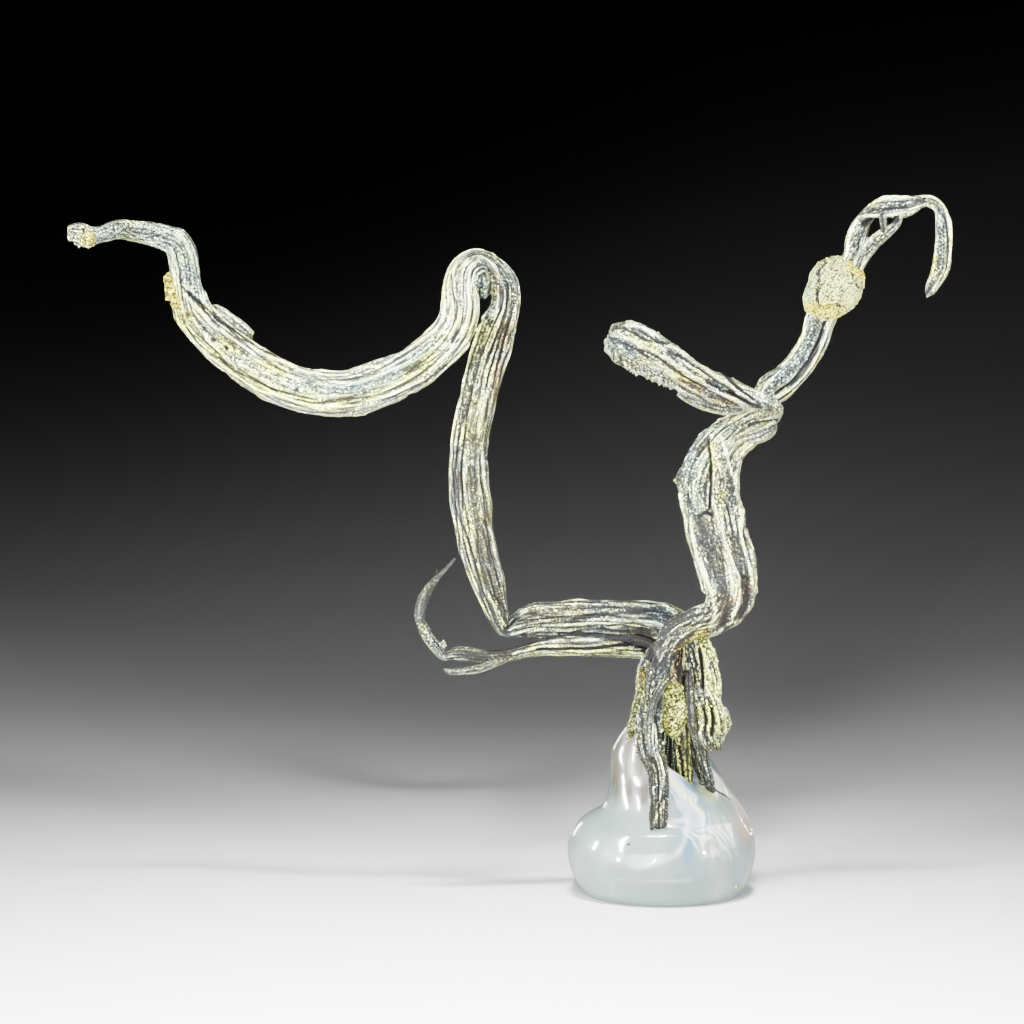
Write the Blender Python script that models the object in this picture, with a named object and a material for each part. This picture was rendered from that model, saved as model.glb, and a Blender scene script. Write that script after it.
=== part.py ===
"""Native wire silver: curling, ribbed wires that stand in a set drop of milky mounting glue.

Everything is in metres with +Z up. The origin is the middle of the glue's flat underside, and -Y is the
show side. Each silver wire is swept along a hand-set route. A route's rows are (x, y, z, width, depth, roll),
the lengths in millimetres and the roll in degrees about the wire, where 0 turns its broad side to -Y.
"""

import math

import bmesh
import bpy
from mathutils import Matrix, Vector

MM = 0.001
SHOW_SIDE = Vector((0.0, -1.0, 0.0))

# Driving dimensions, in millimetres.
CLEARANCE = 0.15  # between two nodes that meet
RING_SPACING = 1.3  # between two cross-sections of a wire
ROOT_SPACING = 1.7  # the same for the roots
GLUE_FOOT = (4.9, 4.5)  # half width and half depth of the flat underside
GLUE_BULGE = (5.95, 5.2)  # half width and half depth where the drop is widest
GLUE_HEIGHT = 10.0  # top of the collar that climbs the silver
GROOVE_SHARE = 0.36  # of a wire's half depth, lost in the grooves between its ribs
NODULE_CENTRE = (10.45, 0.35, 38.25)
NODULE_RADII = (2.15, 1.6, 1.7)
NODULE_TILT = 52.0  # degrees by which its long axis rises to the right

# The long left wire: a level run, a fold, an upright, a loop over the top, a hanging bow and a thin tip.
LEFT_ARM = [
    (1.3, 1.0, 16.4, 1.9, 1.2, 0),
    (0.0, 1.1, 17.0, 2.4, 1.3, 0),
    (-2.2, 1.1, 17.3, 2.4, 1.25, 0),
    (-4.1, 0.95, 17.35, 2.35, 1.15, 0),
    (-6.6, 0.65, 17.35, 2.35, 1.1, 0),
    (-8.2, 0.35, 17.3, 2.15, 1.05, 0),
    (-9.3, 0.1, 17.05, 1.45, 0.95, 0),
    (-10.0, -0.15, 16.9, 0.95, 0.9, 0),
    (-10.3, -0.3, 17.45, 1.15, 0.9, 0),
    (-10.6, -0.25, 18.4, 1.6, 0.95, 0),
    (-11.1, -0.1, 19.8, 2.05, 1.0, 0),
    (-11.75, 0.0, 22.2, 2.35, 1.05, 0),
    (-12.15, 0.0, 25.0, 2.45, 1.05, 0),
    (-12.3, 0.0, 27.8, 2.4, 1.05, 0),
    (-11.9, 0.2, 30.6, 2.3, 1.05, 0),
    (-11.25, 0.5, 33.3, 2.25, 1.05, 0),
    (-10.65, 0.8, 35.4, 2.4, 1.05, 0),
    (-10.25, 1.0, 37.2, 2.3, 1.05, 0),
    (-10.35, 1.0, 38.5, 2.1, 1.0, 15),
    (-10.95, 0.6, 39.45, 2.0, 1.0, 40),
    (-11.75, -0.2, 39.85, 2.0, 1.0, 50),
    (-12.45, -1.0, 39.5, 2.1, 1.0, 30),
    (-12.75, -1.4, 38.5, 2.25, 1.0, 10),
    (-12.8, -1.4, 37.2, 2.4, 1.0, 0),
    (-13.3, -1.2, 35.6, 2.6, 1.0, 0),
    (-14.9, -0.9, 33.9, 2.65, 1.0, 0),
    (-16.7, -0.5, 32.75, 2.75, 1.0, 0),
    (-19.2, 0.0, 31.8, 2.9, 1.05, 0),
    (-20.9, 0.3, 31.63, 2.9, 1.05, 0),
    (-22.4, 0.6, 31.8, 2.85, 1.05, 0),
    (-24.0, 0.9, 32.25, 2.8, 1.05, 0),
    (-25.5, 1.2, 33.0, 2.8, 1.0, 0),
    (-26.95, 1.4, 34.0, 2.75, 1.0, 0),
    (-28.25, 1.6, 35.1, 2.65, 0.95, 0),
    (-29.15, 1.6, 36.1, 2.5, 0.95, 0),
    (-29.65, 1.5, 37.1, 2.3, 0.9, 0),
    (-29.9, 1.4, 38.5, 2.0, 0.9, 0),
    (-30.0, 1.2, 39.7, 1.85, 0.85, 0),
    (-30.35, 1.0, 40.75, 1.75, 0.85, 0),
    (-31.1, 0.8, 41.45, 1.6, 0.8, 0),
    (-32.2, 0.6, 41.85, 1.45, 0.75, 0),
    (-33.15, 0.4, 42.05, 1.3, 0.75, 0),
    (-34.1, 0.3, 42.05, 1.05, 0.75, 0),
    (-35.1, 0.2, 41.6, 1.0, 0.75, 0),
    (-35.8, 0.2, 41.5, 1.3, 0.8, 0),
    (-36.6, 0.2, 41.7, 1.3, 0.8, 0),
    (-37.1, 0.2, 41.75, 0.8, 0.6, 0),
]

# A short flake that lies along the inner edge of the bow.
BOW_FLAKE = [
    (-28.15, 1.85, 36.75, 0.5, 0.4, 0),
    (-27.5, 1.8, 36.1, 0.95, 0.5, 0),
    (-26.75, 1.7, 35.45, 1.05, 0.5, 0),
    (-26.0, 1.6, 34.8, 0.6, 0.4, 0),
]

# The thin wire below the level run, with its hooked tip, and the two loose threads at its fold.
SPUR = [
    (0.2, 0.45, 15.3, 1.0, 0.85, 0),
    (-1.2, 0.4, 15.4, 1.0, 0.8, 0),
    (-2.5, 0.35, 15.45, 0.95, 0.8, 0),
    (-4.1, 0.2, 15.55, 1.0, 0.75, 0),
    (-5.7, 0.1, 15.6, 1.0, 0.7, 0),
    (-7.2, 0.0, 15.65, 0.85, 0.65, 0),
    (-8.5, -0.1, 15.5, 0.8, 0.6, 0),
    (-9.8, -0.2, 15.2, 0.75, 0.6, 0),
    (-11.1, -0.3, 15.1, 0.75, 0.6, 0),
    (-12.3, -0.4, 15.3, 0.85, 0.55, 0),
    (-13.2, -0.4, 15.3, 0.8, 0.5, 0),
    (-13.85, -0.4, 15.2, 0.6, 0.5, 0),
    (-14.25, -0.5, 15.7, 0.75, 0.5, 0),
    (-14.8, -0.7, 16.5, 0.8, 0.5, 0),
    (-15.25, -0.9, 17.6, 0.75, 0.5, 0),
    (-15.2, -1.1, 18.5, 0.75, 0.5, 0),
    (-14.85, -1.2, 19.4, 0.65, 0.45, 0),
    (-14.4, -1.3, 20.0, 0.5, 0.4, 0),
    (-13.8, -1.3, 20.6, 0.32, 0.3, 0),
    (-13.15, -1.3, 21.4, 0.22, 0.22, 0),
]
SPUR_THREAD = [
    (-9.6, -0.2, 15.1, 0.4, 0.4, 0),
    (-10.6, -0.4, 14.75, 0.5, 0.4, 0),
    (-11.6, -0.6, 14.4, 0.55, 0.4, 0),
    (-12.6, -0.7, 14.2, 0.5, 0.4, 0),
    (-13.4, -0.7, 14.2, 0.5, 0.4, 0),
    (-13.8, -0.7, 14.3, 0.4, 0.35, 0),
]

# The broad right wire: it turns upwards, narrows to a fold and comes forward as a thick stub.
RIGHT_ARM = [
    (-0.35, -2.5, 14.5, 0.9, 0.8, 0),
    (-0.3, -2.5, 15.3, 1.4, 1.0, 0),
    (-0.1, -2.4, 16.0, 1.6, 1.1, 0),
    (0.5, -2.15, 16.75, 1.55, 1.15, 0),
    (1.2, -1.85, 17.2, 1.55, 1.15, 0),
    (2.0, -1.5, 17.5, 1.8, 1.2, 0),
    (2.9, -1.15, 17.7, 2.2, 1.25, 0),
    (3.65, -0.8, 18.35, 2.8, 1.4, 0),
    (3.95, -0.6, 19.1, 3.3, 1.5, 0),
    (3.85, -0.45, 20.6, 3.6, 1.6, 0),
    (3.2, -0.3, 22.9, 3.6, 1.7, 0),
    (2.85, -0.2, 24.4, 3.5, 1.75, 0),
    (2.6, -0.2, 25.7, 3.55, 1.75, 0),
    (2.85, -0.2, 27.15, 3.45, 1.65, 0),
    (3.75, -0.2, 28.65, 2.8, 1.5, 0),
    (5.3, -0.2, 29.85, 2.2, 1.15, 0),
    (6.35, -0.35, 30.4, 1.6, 1.0, 0),
    (6.8, -0.7, 30.8, 0.95, 0.95, 0),
    (6.25, -0.95, 31.2, 0.8, 1.1, 0),
    (5.2, -1.2, 31.5, 1.15, 1.4, 0),
    (3.85, -1.6, 31.95, 1.85, 1.7, 0),
    (2.5, -2.05, 32.55, 2.25, 2.0, 0),
    (1.35, -2.5, 33.2, 2.5, 2.2, 0),
    (0.15, -3.0, 33.85, 2.85, 2.3, 0),
    (-0.9, -3.45, 34.4, 2.95, 2.3, 0),
    (-1.8, -3.8, 34.9, 2.85, 2.2, 0),
    (-2.75, -4.1, 35.35, 2.65, 2.0, 0),
    (-3.35, -4.25, 35.6, 1.9, 1.5, 0),
]

# A thin flake under the stub, and two knobs of the right wire as (centre, radii, tilt).
STUB_FLAKE = [
    (5.0, -1.0, 31.05, 0.5, 0.6, 0),
    (4.0, -1.3, 31.0, 0.9, 0.7, 0),
    (2.8, -1.7, 31.35, 1.0, 0.7, 0),
    (1.7, -2.1, 31.85, 0.95, 0.6, 0),
    (0.75, -2.4, 32.35, 0.45, 0.4, 0),
]
ARM_KNOBS = [
    ((5.75, -0.35, 29.25), (0.85, 0.6, 0.6), 30.0),
    ((0.9, -0.2, 26.2), (0.45, 0.4, 0.6), 0.0),
]

# The wire that rises to the right behind the fold, up to the nodule.
TENDRIL = [
    (5.9, -0.1, 31.1, 1.0, 0.6, 0),
    (6.45, 0.5, 31.65, 1.9, 0.9, 0),
    (7.35, 0.7, 32.3, 2.05, 1.0, 0),
    (8.5, 0.6, 33.5, 1.9, 1.0, 0),
    (9.25, 0.5, 34.9, 1.85, 1.0, 0),
    (9.65, 0.4, 36.2, 1.8, 0.95, 0),
    (10.2, 0.3, 37.4, 1.7, 0.9, 0),
]

# Beyond the nodule: a twisted ribbon that hooks over and down, with a thinner strand across its opening.
HOOK = [
    (11.1, 0.3, 38.9, 1.3, 0.8, 0),
    (11.75, 0.3, 40.25, 1.3, 0.75, 0),
    (11.8, 0.3, 41.2, 1.25, 0.7, 5),
    (12.1, 0.2, 42.1, 1.15, 0.6, 20),
    (12.75, 0.1, 42.95, 1.1, 0.55, 35),
    (13.5, 0.0, 43.35, 1.4, 0.55, 35),
    (14.25, 0.1, 43.35, 1.6, 0.55, 25),
    (15.0, 0.2, 43.35, 1.2, 0.55, 10),
    (15.75, 0.4, 43.6, 0.8, 0.55, 0),
    (16.45, 0.5, 43.6, 0.75, 0.55, 0),
    (17.0, 0.6, 43.1, 0.8, 0.5, 0),
    (17.25, 0.7, 42.05, 1.0, 0.5, 0),
    (17.3, 0.7, 40.7, 1.1, 0.5, 0),
    (17.15, 0.6, 39.45, 1.1, 0.5, 0),
    (16.6, 0.5, 38.3, 0.8, 0.45, 0),
    (16.3, 0.4, 37.8, 0.4, 0.3, 0),
]
HOOK_STRAND = [
    (11.9, -0.1, 39.6, 0.7, 0.5, 0),
    (12.3, -0.3, 40.45, 0.75, 0.5, 0),
    (12.85, -0.35, 41.2, 0.75, 0.5, 0),
    (13.55, -0.3, 41.85, 0.7, 0.5, 0),
    (14.1, -0.2, 42.45, 0.7, 0.5, 0),
    (14.3, 0.0, 43.2, 0.6, 0.5, 0),
]

# The roots, grown together in one body. The first lies nearest the show side and ends in the glue's front.
ROOT_FRONT = [
    (-0.75, -0.6, 15.6, 1.3, 1.2, 0),
    (-1.1, -1.0, 14.5, 1.9, 1.5, 0),
    (-1.35, -1.35, 13.0, 2.05, 1.6, 0),
    (-1.3, -1.7, 11.4, 2.05, 1.5, 0),
    (-0.95, -2.1, 9.8, 1.75, 1.3, 0),
    (-0.5, -2.6, 8.3, 1.35, 1.1, 0),
    (-0.4, -3.1, 6.7, 1.2, 0.95, 0),
    (-0.4, -3.7, 5.7, 1.15, 0.9, 0),
    (-0.4, -4.25, 4.95, 1.15, 0.85, 0),
]
ROOT_LEFT = [
    (-1.1, -0.2, 14.7, 1.6, 1.8, 0),
    (-1.6, -0.3, 12.2, 1.8, 2.0, 0),
    (-1.85, -0.3, 9.8, 1.65, 1.8, 0),
    (-1.95, -0.3, 7.8, 1.3, 1.4, 0),
    (-1.8, -0.3, 6.0, 0.8, 0.9, 0),
]
ROOT_MATRIX = [
    (0.8, -0.6, 15.7, 1.6, 1.5, 0),
    (0.4, -0.85, 13.8, 2.3, 1.9, 0),
    (0.35, -1.0, 11.8, 2.4, 1.9, 0),
    (0.75, -1.1, 10.0, 1.45, 1.6, 0),
    (1.1, -0.9, 8.0, 1.25, 1.3, 0),
    (1.2, -0.7, 5.5, 1.0, 1.0, 0),
]
ROOT_BACK = [
    (1.0, 0.7, 17.1, 1.9, 1.8, 0),
    (1.0, 0.9, 15.2, 2.9, 2.3, 0),
    (0.9, 0.9, 12.5, 3.4, 2.4, 0),
    (0.7, 0.8, 9.8, 3.1, 2.2, 0),
    (0.6, 0.7, 7.0, 2.6, 1.9, 0),
    (0.5, 0.6, 4.2, 2.0, 1.5, 0),
]
ROOT_RIGHT = [
    (1.5, -0.1, 16.9, 1.3, 1.2, 0),
    (2.35, -0.35, 15.3, 1.35, 1.4, 0),
    (2.75, -0.5, 13.4, 1.35, 1.5, 0),
    (2.85, -0.6, 12.2, 1.3, 1.5, 0),
]
ROOT_THREAD = [
    (1.6, 0.1, 10.2, 0.9, 1.0, 0),
    (2.2, -0.3, 8.3, 0.75, 0.8, 0),
    (2.75, -0.6, 6.4, 0.6, 0.6, 0),
]

# The curl that ends the right root: a strap rolled about the Y axis.
CURL_CENTRE = (3.05, -0.55, 10.95)
CURL_RADII = (0.45, 1.0)  # of the strap's middle line, at its inner end and where it leaves the roll
CURL_STRETCH = 1.3  # how much taller than wide the roll is
CURL_TURNS = 1.35
CURL_START_ANGLE = math.radians(115.0)
CURL_STRAP = (0.5, 1.9)  # thickness, and width along Y

# Colour, metallic and roughness of the viewport materials.
SILVER = ("silver", (0.70, 0.71, 0.66, 1.0), 0.9, 0.42)
GRANULAR_SILVER = ("granular_silver", (0.86, 0.83, 0.62, 1.0), 0.35, 0.7)
GLUE = ("glue", (0.78, 0.83, 0.83, 1.0), 0.0, 0.12)


def clear_scene():
    """Removes every object of the startup scene."""
    for obj in list(bpy.data.objects):
        bpy.data.objects.remove(obj, do_unlink=True)


def make_material(name, colour, metallic, roughness):
    """A Principled material with one colour."""
    material = bpy.data.materials.new(name)
    material.use_nodes = True
    shader = material.node_tree.nodes["Principled BSDF"]
    shader.inputs["Base Color"].default_value = colour
    shader.inputs["Metallic"].default_value = metallic
    shader.inputs["Roughness"].default_value = roughness
    return material


def catmull_rom(before, start, end, after, share):
    """Each value of a row, `share` of the way from start to end on a smooth curve through all four rows."""
    made = []
    for a, b, c, d in zip(before, start, end, after):
        slope_b, slope_c = (c - a) / 2, (d - b) / 2
        rise = c - b
        cubic = slope_b + slope_c - 2 * rise
        square = 3 * rise - 2 * slope_b - slope_c
        made.append(b + share * (slope_b + share * (square + share * cubic)))
    return made


def smooth_route(route, spacing=RING_SPACING):
    """The route's rows, with more between them so that none are further apart than the spacing."""
    rows = []
    for i in range(len(route) - 1):
        before = route[max(i - 1, 0)]
        after = route[min(i + 2, len(route) - 1)]
        length = (Vector(route[i + 1][:3]) - Vector(route[i][:3])).length
        steps = max(1, math.ceil(length / spacing))
        for step in range(steps):
            rows.append(catmull_rom(before, route[i], route[i + 1], after, step / steps))
    rows.append([float(value) for value in route[-1]])
    return rows


def groove_share(step, half, station):
    """Share of the half depth lost at this step across a section. Inner even steps are the grooves."""
    if step in (0, half):
        return 0.0
    if step % 2 == 1:
        return 0.06 * math.sin(1.9 * step + 0.7 * station)
    return GROOVE_SHARE * (1.0 + 0.35 * math.sin(2.3 * step + 0.45 * station))


def section_points(width, depth, sides, station, grow):
    """A wire's ribbed oval as (across, out) pairs in millimetres. The first and middle ones are its edges."""
    half = sides // 2
    points = []
    for k in range(sides):
        step = k if k <= half else sides - k
        across = 1.0 - 2.0 * step / half
        rise = math.sqrt(1.0 - abs(across) ** 2.6)
        kept = 1.0 if grow else 1.0 - groove_share(step, half, station + 3 * (k > half))
        out = rise * (kept * depth / 2 + grow)
        points.append((across * (width / 2 + grow), out if k <= half else -out))
    return points


def sweep(route, sides=14, grow=0.0, spacing=RING_SPACING):
    """A closed mesh of ribbed sections along the route, its ends domed. `grow` makes every section larger."""
    rows = smooth_route(route, spacing)
    centres = [Vector(row[:3]) for row in rows]
    mesh = bmesh.new()
    rings = []
    for i, row in enumerate(rows):
        ahead = centres[min(i + 1, len(rows) - 1)] - centres[max(i - 1, 0)]
        along = ahead.normalized()
        out = (SHOW_SIDE - along * SHOW_SIDE.dot(along)).normalized()
        out = Matrix.Rotation(math.radians(row[5]), 3, along) @ out
        across = along.cross(out)
        ring = [
            mesh.verts.new((centres[i] + across * a + out * o) * MM)
            for a, o in section_points(row[3], row[4], sides, i, grow)
        ]
        rings.append(ring)
    for low, high in zip(rings, rings[1:]):
        for k in range(sides):
            after = (k + 1) % sides
            mesh.faces.new((low[k], low[after], high[after], high[k]))
    for ring, centre, beyond in ((rings[0], centres[0], centres[1]), (rings[-1], centres[-1], centres[-2])):
        outward = (centre - beyond).normalized()
        radius = min((vert.co / MM - centre).length for vert in ring)
        tip = mesh.verts.new((centre + outward * (0.2 * radius + grow)) * MM)
        for k in range(sides):
            mesh.faces.new((ring[k], ring[(k + 1) % sides], tip))
    bmesh.ops.recalc_face_normals(mesh, faces=mesh.faces)
    return mesh


def add_object(name, mesh, material=None):
    """An object of this bmesh, shaded flat or smooth by its edges' angles."""
    data = bpy.data.meshes.new(name)
    mesh.to_mesh(data)
    mesh.free()
    obj = bpy.data.objects.new(name, data)
    bpy.context.scene.collection.objects.link(obj)
    if material:
        data.materials.append(material)
    data.shade_smooth()
    data.set_sharp_from_angle(angle=math.radians(30))
    return obj


def add_helper(name, mesh):
    """An object that only takes part in a Boolean."""
    helper = add_object(name, mesh)
    helper.hide_render = True
    helper.display_type = "WIRE"
    return helper


def combine(obj, others, operation):
    """Adds one EXACT Boolean for each of the other objects."""
    for other in others:
        modifier = obj.modifiers.new(other.name, "BOOLEAN")
        modifier.operation = operation
        modifier.solver = "EXACT"
        modifier.object = other


def lumpy_ball(centre, radii, tilt, lumps, height, rings=8, segments=12, grow=0.0):
    """A closed ball with low lumps, whose first axis rises by `tilt` degrees to the right."""
    mesh = bmesh.new()
    bmesh.ops.create_uvsphere(mesh, u_segments=segments, v_segments=rings, radius=1.0)
    for vert in mesh.verts:
        around = math.atan2(vert.co.y, vert.co.x)
        up = math.asin(max(-1.0, min(1.0, vert.co.z)))
        bump = height * math.sin(lumps * around + 5.0 * up) * math.cos(lumps * up + 0.8) * math.cos(up)
        reach = [radius + grow + bump for radius in radii]
        vert.co = Vector([c * r for c, r in zip(vert.co, reach)])
    turn = Matrix.Rotation(-math.radians(tilt), 4, "Y")
    place = Matrix.Scale(MM, 4) @ Matrix.Translation(centre) @ turn
    bmesh.ops.transform(mesh, matrix=place, verts=mesh.verts)
    return mesh


def curl_route():
    """Rows of the rolled strap: a flat spiral about the Y axis, its broad side facing the roll's centre."""
    steps = 14
    rows = []
    for step in range(steps + 1):
        share = step / steps
        angle = CURL_START_ANGLE - share * CURL_TURNS * 2 * math.pi
        radius = CURL_RADII[1] + (CURL_RADII[0] - CURL_RADII[1]) * share
        x = CURL_CENTRE[0] + radius * math.cos(angle)
        z = CURL_CENTRE[2] + CURL_STRETCH * radius * math.sin(angle)
        rows.append((x, CURL_CENTRE[1], z, CURL_STRAP[0], CURL_STRAP[1], 0))
    return rows


def glue_levels():
    """(height, left, right, front, back) of the drop, from its foot to the rim of its collar."""
    foot_x, foot_y = GLUE_FOOT
    bulge_x, bulge_y = GLUE_BULGE
    top = GLUE_HEIGHT
    return [
        (0.0, foot_x, foot_x, foot_y, foot_y),
        (0.3, foot_x + 0.3, foot_x + 0.15, foot_y + 0.3, foot_y + 0.3),
        (1.0, bulge_x - 0.35, bulge_x - 0.5, bulge_y - 0.2, bulge_y - 0.2),
        (2.2, bulge_x + 0.1, bulge_x - 0.2, bulge_y, bulge_y),
        (3.4, bulge_x, bulge_x - 0.25, bulge_y - 0.1, bulge_y - 0.1),
        (4.4, bulge_x - 0.5, bulge_x - 0.5, bulge_y - 0.4, bulge_y - 0.4),
        (5.0, 4.7, 5.2, bulge_y - 0.8, bulge_y - 0.7),
        (5.6, 3.8, 4.95, bulge_y - 1.2, bulge_y - 1.1),
        (6.4, 3.55, 4.5, 3.6, 3.7),
        (7.4, 3.45, 3.95, 3.1, 3.3),
        (8.4, 3.3, 3.4, 2.7, 2.9),
        (9.2, 3.1, 2.7, 2.4, 2.6),
        (top, 2.85, 2.2, 2.1, 2.3),
    ]


def collar_drop(angle):
    """Share by which the collar is lower at this angle: it dips on the right of the front."""
    notch = math.radians(-62)
    away = math.atan2(math.sin(angle - notch), math.cos(angle - notch))
    return 0.62 * math.exp(-((away / math.radians(40)) ** 2))


def glue_mesh(columns=32):
    """The drop of glue: stacked ovals with four different radii each, closed below by a flat foot."""
    mesh = bmesh.new()
    shoulder = 5.0  # below this height the rim's dip has no effect
    rings = []
    for height, left, right, front, back in glue_levels():
        ring = []
        for k in range(columns):
            angle = 2 * math.pi * k / columns
            across = (right if math.cos(angle) > 0 else left) * math.cos(angle)
            out = (back if math.sin(angle) > 0 else front) * math.sin(angle)
            above = max(0.0, height - shoulder)
            ring.append(mesh.verts.new(Vector((across, out, height - above * collar_drop(angle))) * MM))
        rings.append(ring)
    for low, high in zip(rings, rings[1:]):
        for k in range(columns):
            after = (k + 1) % columns
            mesh.faces.new((low[k], low[after], high[after], high[k]))
    dish = mesh.verts.new(Vector((0.2, 0.1, 7.4)) * MM)
    for k in range(columns):
        mesh.faces.new((rings[-1][k], rings[-1][(k + 1) % columns], dish))
    mesh.faces.new(list(reversed(rings[0])))
    bmesh.ops.recalc_face_normals(mesh, faces=mesh.faces)
    return mesh


def build_left_side(material):
    """The long wire with its flake and the thin wire with its loose thread, both clear of the roots."""
    clear = [
        add_helper("back_clearance", sweep(ROOT_BACK, sides=12, grow=CLEARANCE, spacing=ROOT_SPACING)),
        add_helper("left_clearance", sweep(ROOT_LEFT, sides=12, grow=CLEARANCE, spacing=ROOT_SPACING)),
    ]
    arm = add_object("left_arm", sweep(LEFT_ARM, sides=16), material)
    combine(arm, [add_helper("bow_flake", sweep(BOW_FLAKE, sides=8))], "UNION")
    combine(arm, clear, "DIFFERENCE")
    spur = add_object("spur", sweep(SPUR, sides=10), material)
    combine(spur, [add_helper("spur_thread", sweep(SPUR_THREAD, sides=8))], "UNION")
    combine(spur, clear, "DIFFERENCE")


def build_right_side(material, grain):
    """The right arm, the tendril that forks from its fold, the nodule on it and the hook beyond."""
    arm = add_object("right_arm", sweep(RIGHT_ARM, sides=20), material)
    knobs = [add_helper(f"arm_knob_{i}", lumpy_ball(*row, 3, 0.05)) for i, row in enumerate(ARM_KNOBS)]
    combine(arm, [add_helper("stub_flake", sweep(STUB_FLAKE, sides=8)), *knobs], "UNION")
    around_arm = add_helper("right_arm_clearance", sweep(RIGHT_ARM, sides=20, grow=CLEARANCE))
    add_object("nodule", lumpy_ball(NODULE_CENTRE, NODULE_RADII, NODULE_TILT, 7, 0.17, 16, 24), grain)
    around_nodule = add_helper(
        "nodule_clearance", lumpy_ball(NODULE_CENTRE, NODULE_RADII, NODULE_TILT, 7, 0.17, 16, 24, CLEARANCE)
    )
    tendril = add_object("tendril", sweep(TENDRIL, sides=12), material)
    combine(tendril, [around_arm, around_nodule], "DIFFERENCE")
    hook = add_object("hook", sweep(HOOK, sides=12), material)
    combine(hook, [add_helper("hook_strand", sweep(HOOK_STRAND, sides=8))], "UNION")
    combine(hook, [around_nodule], "DIFFERENCE")


def build_roots(material):
    """All the roots in one body."""
    roots = add_object("roots", sweep(ROOT_BACK, sides=12, spacing=ROOT_SPACING), material)
    others = {
        "root_front": sweep(ROOT_FRONT, sides=12, spacing=ROOT_SPACING),
        "root_left": sweep(ROOT_LEFT, sides=12, spacing=ROOT_SPACING),
        "root_matrix": sweep(ROOT_MATRIX, sides=12, spacing=ROOT_SPACING),
        "root_right": sweep(ROOT_RIGHT, sides=12, spacing=ROOT_SPACING),
        "root_thread": sweep(ROOT_THREAD, sides=12, spacing=ROOT_SPACING),
        "root_curl": sweep(curl_route(), sides=8, spacing=2.0),
    }
    combine(roots, [add_helper(name, mesh) for name, mesh in others.items()], "UNION")


def build_glue(material):
    """The drop of glue, with a socket that clears each root that it holds."""
    glue = add_object("glue_base", glue_mesh(), material)
    held = {
        "back": ROOT_BACK,
        "front": ROOT_FRONT,
        "left": ROOT_LEFT,
        "matrix": ROOT_MATRIX,
        "thread": ROOT_THREAD,
    }
    sockets = [
        add_helper(f"socket_{name}", sweep(route, sides=12, grow=CLEARANCE, spacing=ROOT_SPACING))
        for name, route in held.items()
    ]
    combine(glue, sockets, "DIFFERENCE")


def main():
    """Builds every node."""
    clear_scene()
    silver = make_material(*SILVER)
    granular = make_material(*GRANULAR_SILVER)
    build_left_side(silver)
    build_right_side(silver, granular)
    build_roots(silver)
    build_glue(make_material(*GLUE))


main()
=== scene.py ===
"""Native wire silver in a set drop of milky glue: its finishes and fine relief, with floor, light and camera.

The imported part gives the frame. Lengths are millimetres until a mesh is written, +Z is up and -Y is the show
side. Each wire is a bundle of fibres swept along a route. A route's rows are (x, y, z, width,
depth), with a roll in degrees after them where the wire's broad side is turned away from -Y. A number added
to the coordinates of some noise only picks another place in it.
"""

import logging
import math
from dataclasses import dataclass, field
from enum import Enum
from itertools import product

import bpy
import numpy as np
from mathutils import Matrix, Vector


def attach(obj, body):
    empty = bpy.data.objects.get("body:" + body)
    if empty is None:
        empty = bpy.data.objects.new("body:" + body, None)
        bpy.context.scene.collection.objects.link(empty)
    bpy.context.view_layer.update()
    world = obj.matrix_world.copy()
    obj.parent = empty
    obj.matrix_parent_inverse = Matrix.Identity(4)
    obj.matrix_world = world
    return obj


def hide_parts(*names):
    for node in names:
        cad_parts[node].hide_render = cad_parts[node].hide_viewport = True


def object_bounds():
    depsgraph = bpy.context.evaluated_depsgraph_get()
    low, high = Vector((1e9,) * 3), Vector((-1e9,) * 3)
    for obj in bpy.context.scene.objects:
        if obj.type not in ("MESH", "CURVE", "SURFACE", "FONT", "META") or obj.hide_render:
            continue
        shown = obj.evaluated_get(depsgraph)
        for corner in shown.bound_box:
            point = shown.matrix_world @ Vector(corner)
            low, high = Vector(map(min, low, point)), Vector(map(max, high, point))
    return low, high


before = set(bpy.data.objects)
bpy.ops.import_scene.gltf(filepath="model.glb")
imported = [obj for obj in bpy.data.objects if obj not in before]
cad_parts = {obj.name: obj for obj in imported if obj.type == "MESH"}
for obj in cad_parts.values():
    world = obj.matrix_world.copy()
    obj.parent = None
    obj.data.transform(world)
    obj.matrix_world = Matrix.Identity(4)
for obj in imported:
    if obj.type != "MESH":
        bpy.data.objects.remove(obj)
CAD_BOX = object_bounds()

LOG = logging.getLogger("wire_silver")
MM = 0.001
SHOW_SIDE = np.array([0.0, -1.0, 0.0])
MERGE = 2e-7  # metres within which the two sides of a seam are one
WORN_CAVITY_SHADE = 0.55  # how high a worn patch of grains counts for the painted shade, between the grains' feet (0) and tops (1)
WIDTH, DEPTH, ROLL = 3, 4, 5  # where a row has them
ROUTE_STEPS = 24  # rows that round the way from one row of a route to the next
OVAL_POINTS = 481  # points that measure the way round a section
DOME_STEPS = 10  # rings of a wire's end
FRAY_REACH = 0.7  # how far from a wire's end its fibres end unevenly
CRYSTAL = 0.25  # from one bare crystal grain to the next
RIM_WIDTH = 0.075  # half the width of a ridge between two bands
SEAM_WIDTH = 0.055  # half the width of a dark seam between two bands
RIB_SEAM_WIDTH = 0.035  # half the width of a dark seam between two narrow ribs
LINE_WIDTH = 0.085  # half the width of a wandering line

Array = np.ndarray
Material = bpy.types.Material
Socket = bpy.types.NodeSocket
Row = tuple[float, ...]
Point = tuple[float, float]
Triple = tuple[float, float, float]


class Slot(Enum):
    """The record's material slots."""

    SILVER = "silver"
    GRANULAR = "granular_silver"
    GLUE = "glue"


class Tint(Enum):
    """Colours that lie in patches on the silver. Each is an attribute of the mesh."""

    GOLD = "gold"
    OLIVE = "olive"
    BLUE = "blue"
    BROWN = "brown"


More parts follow.
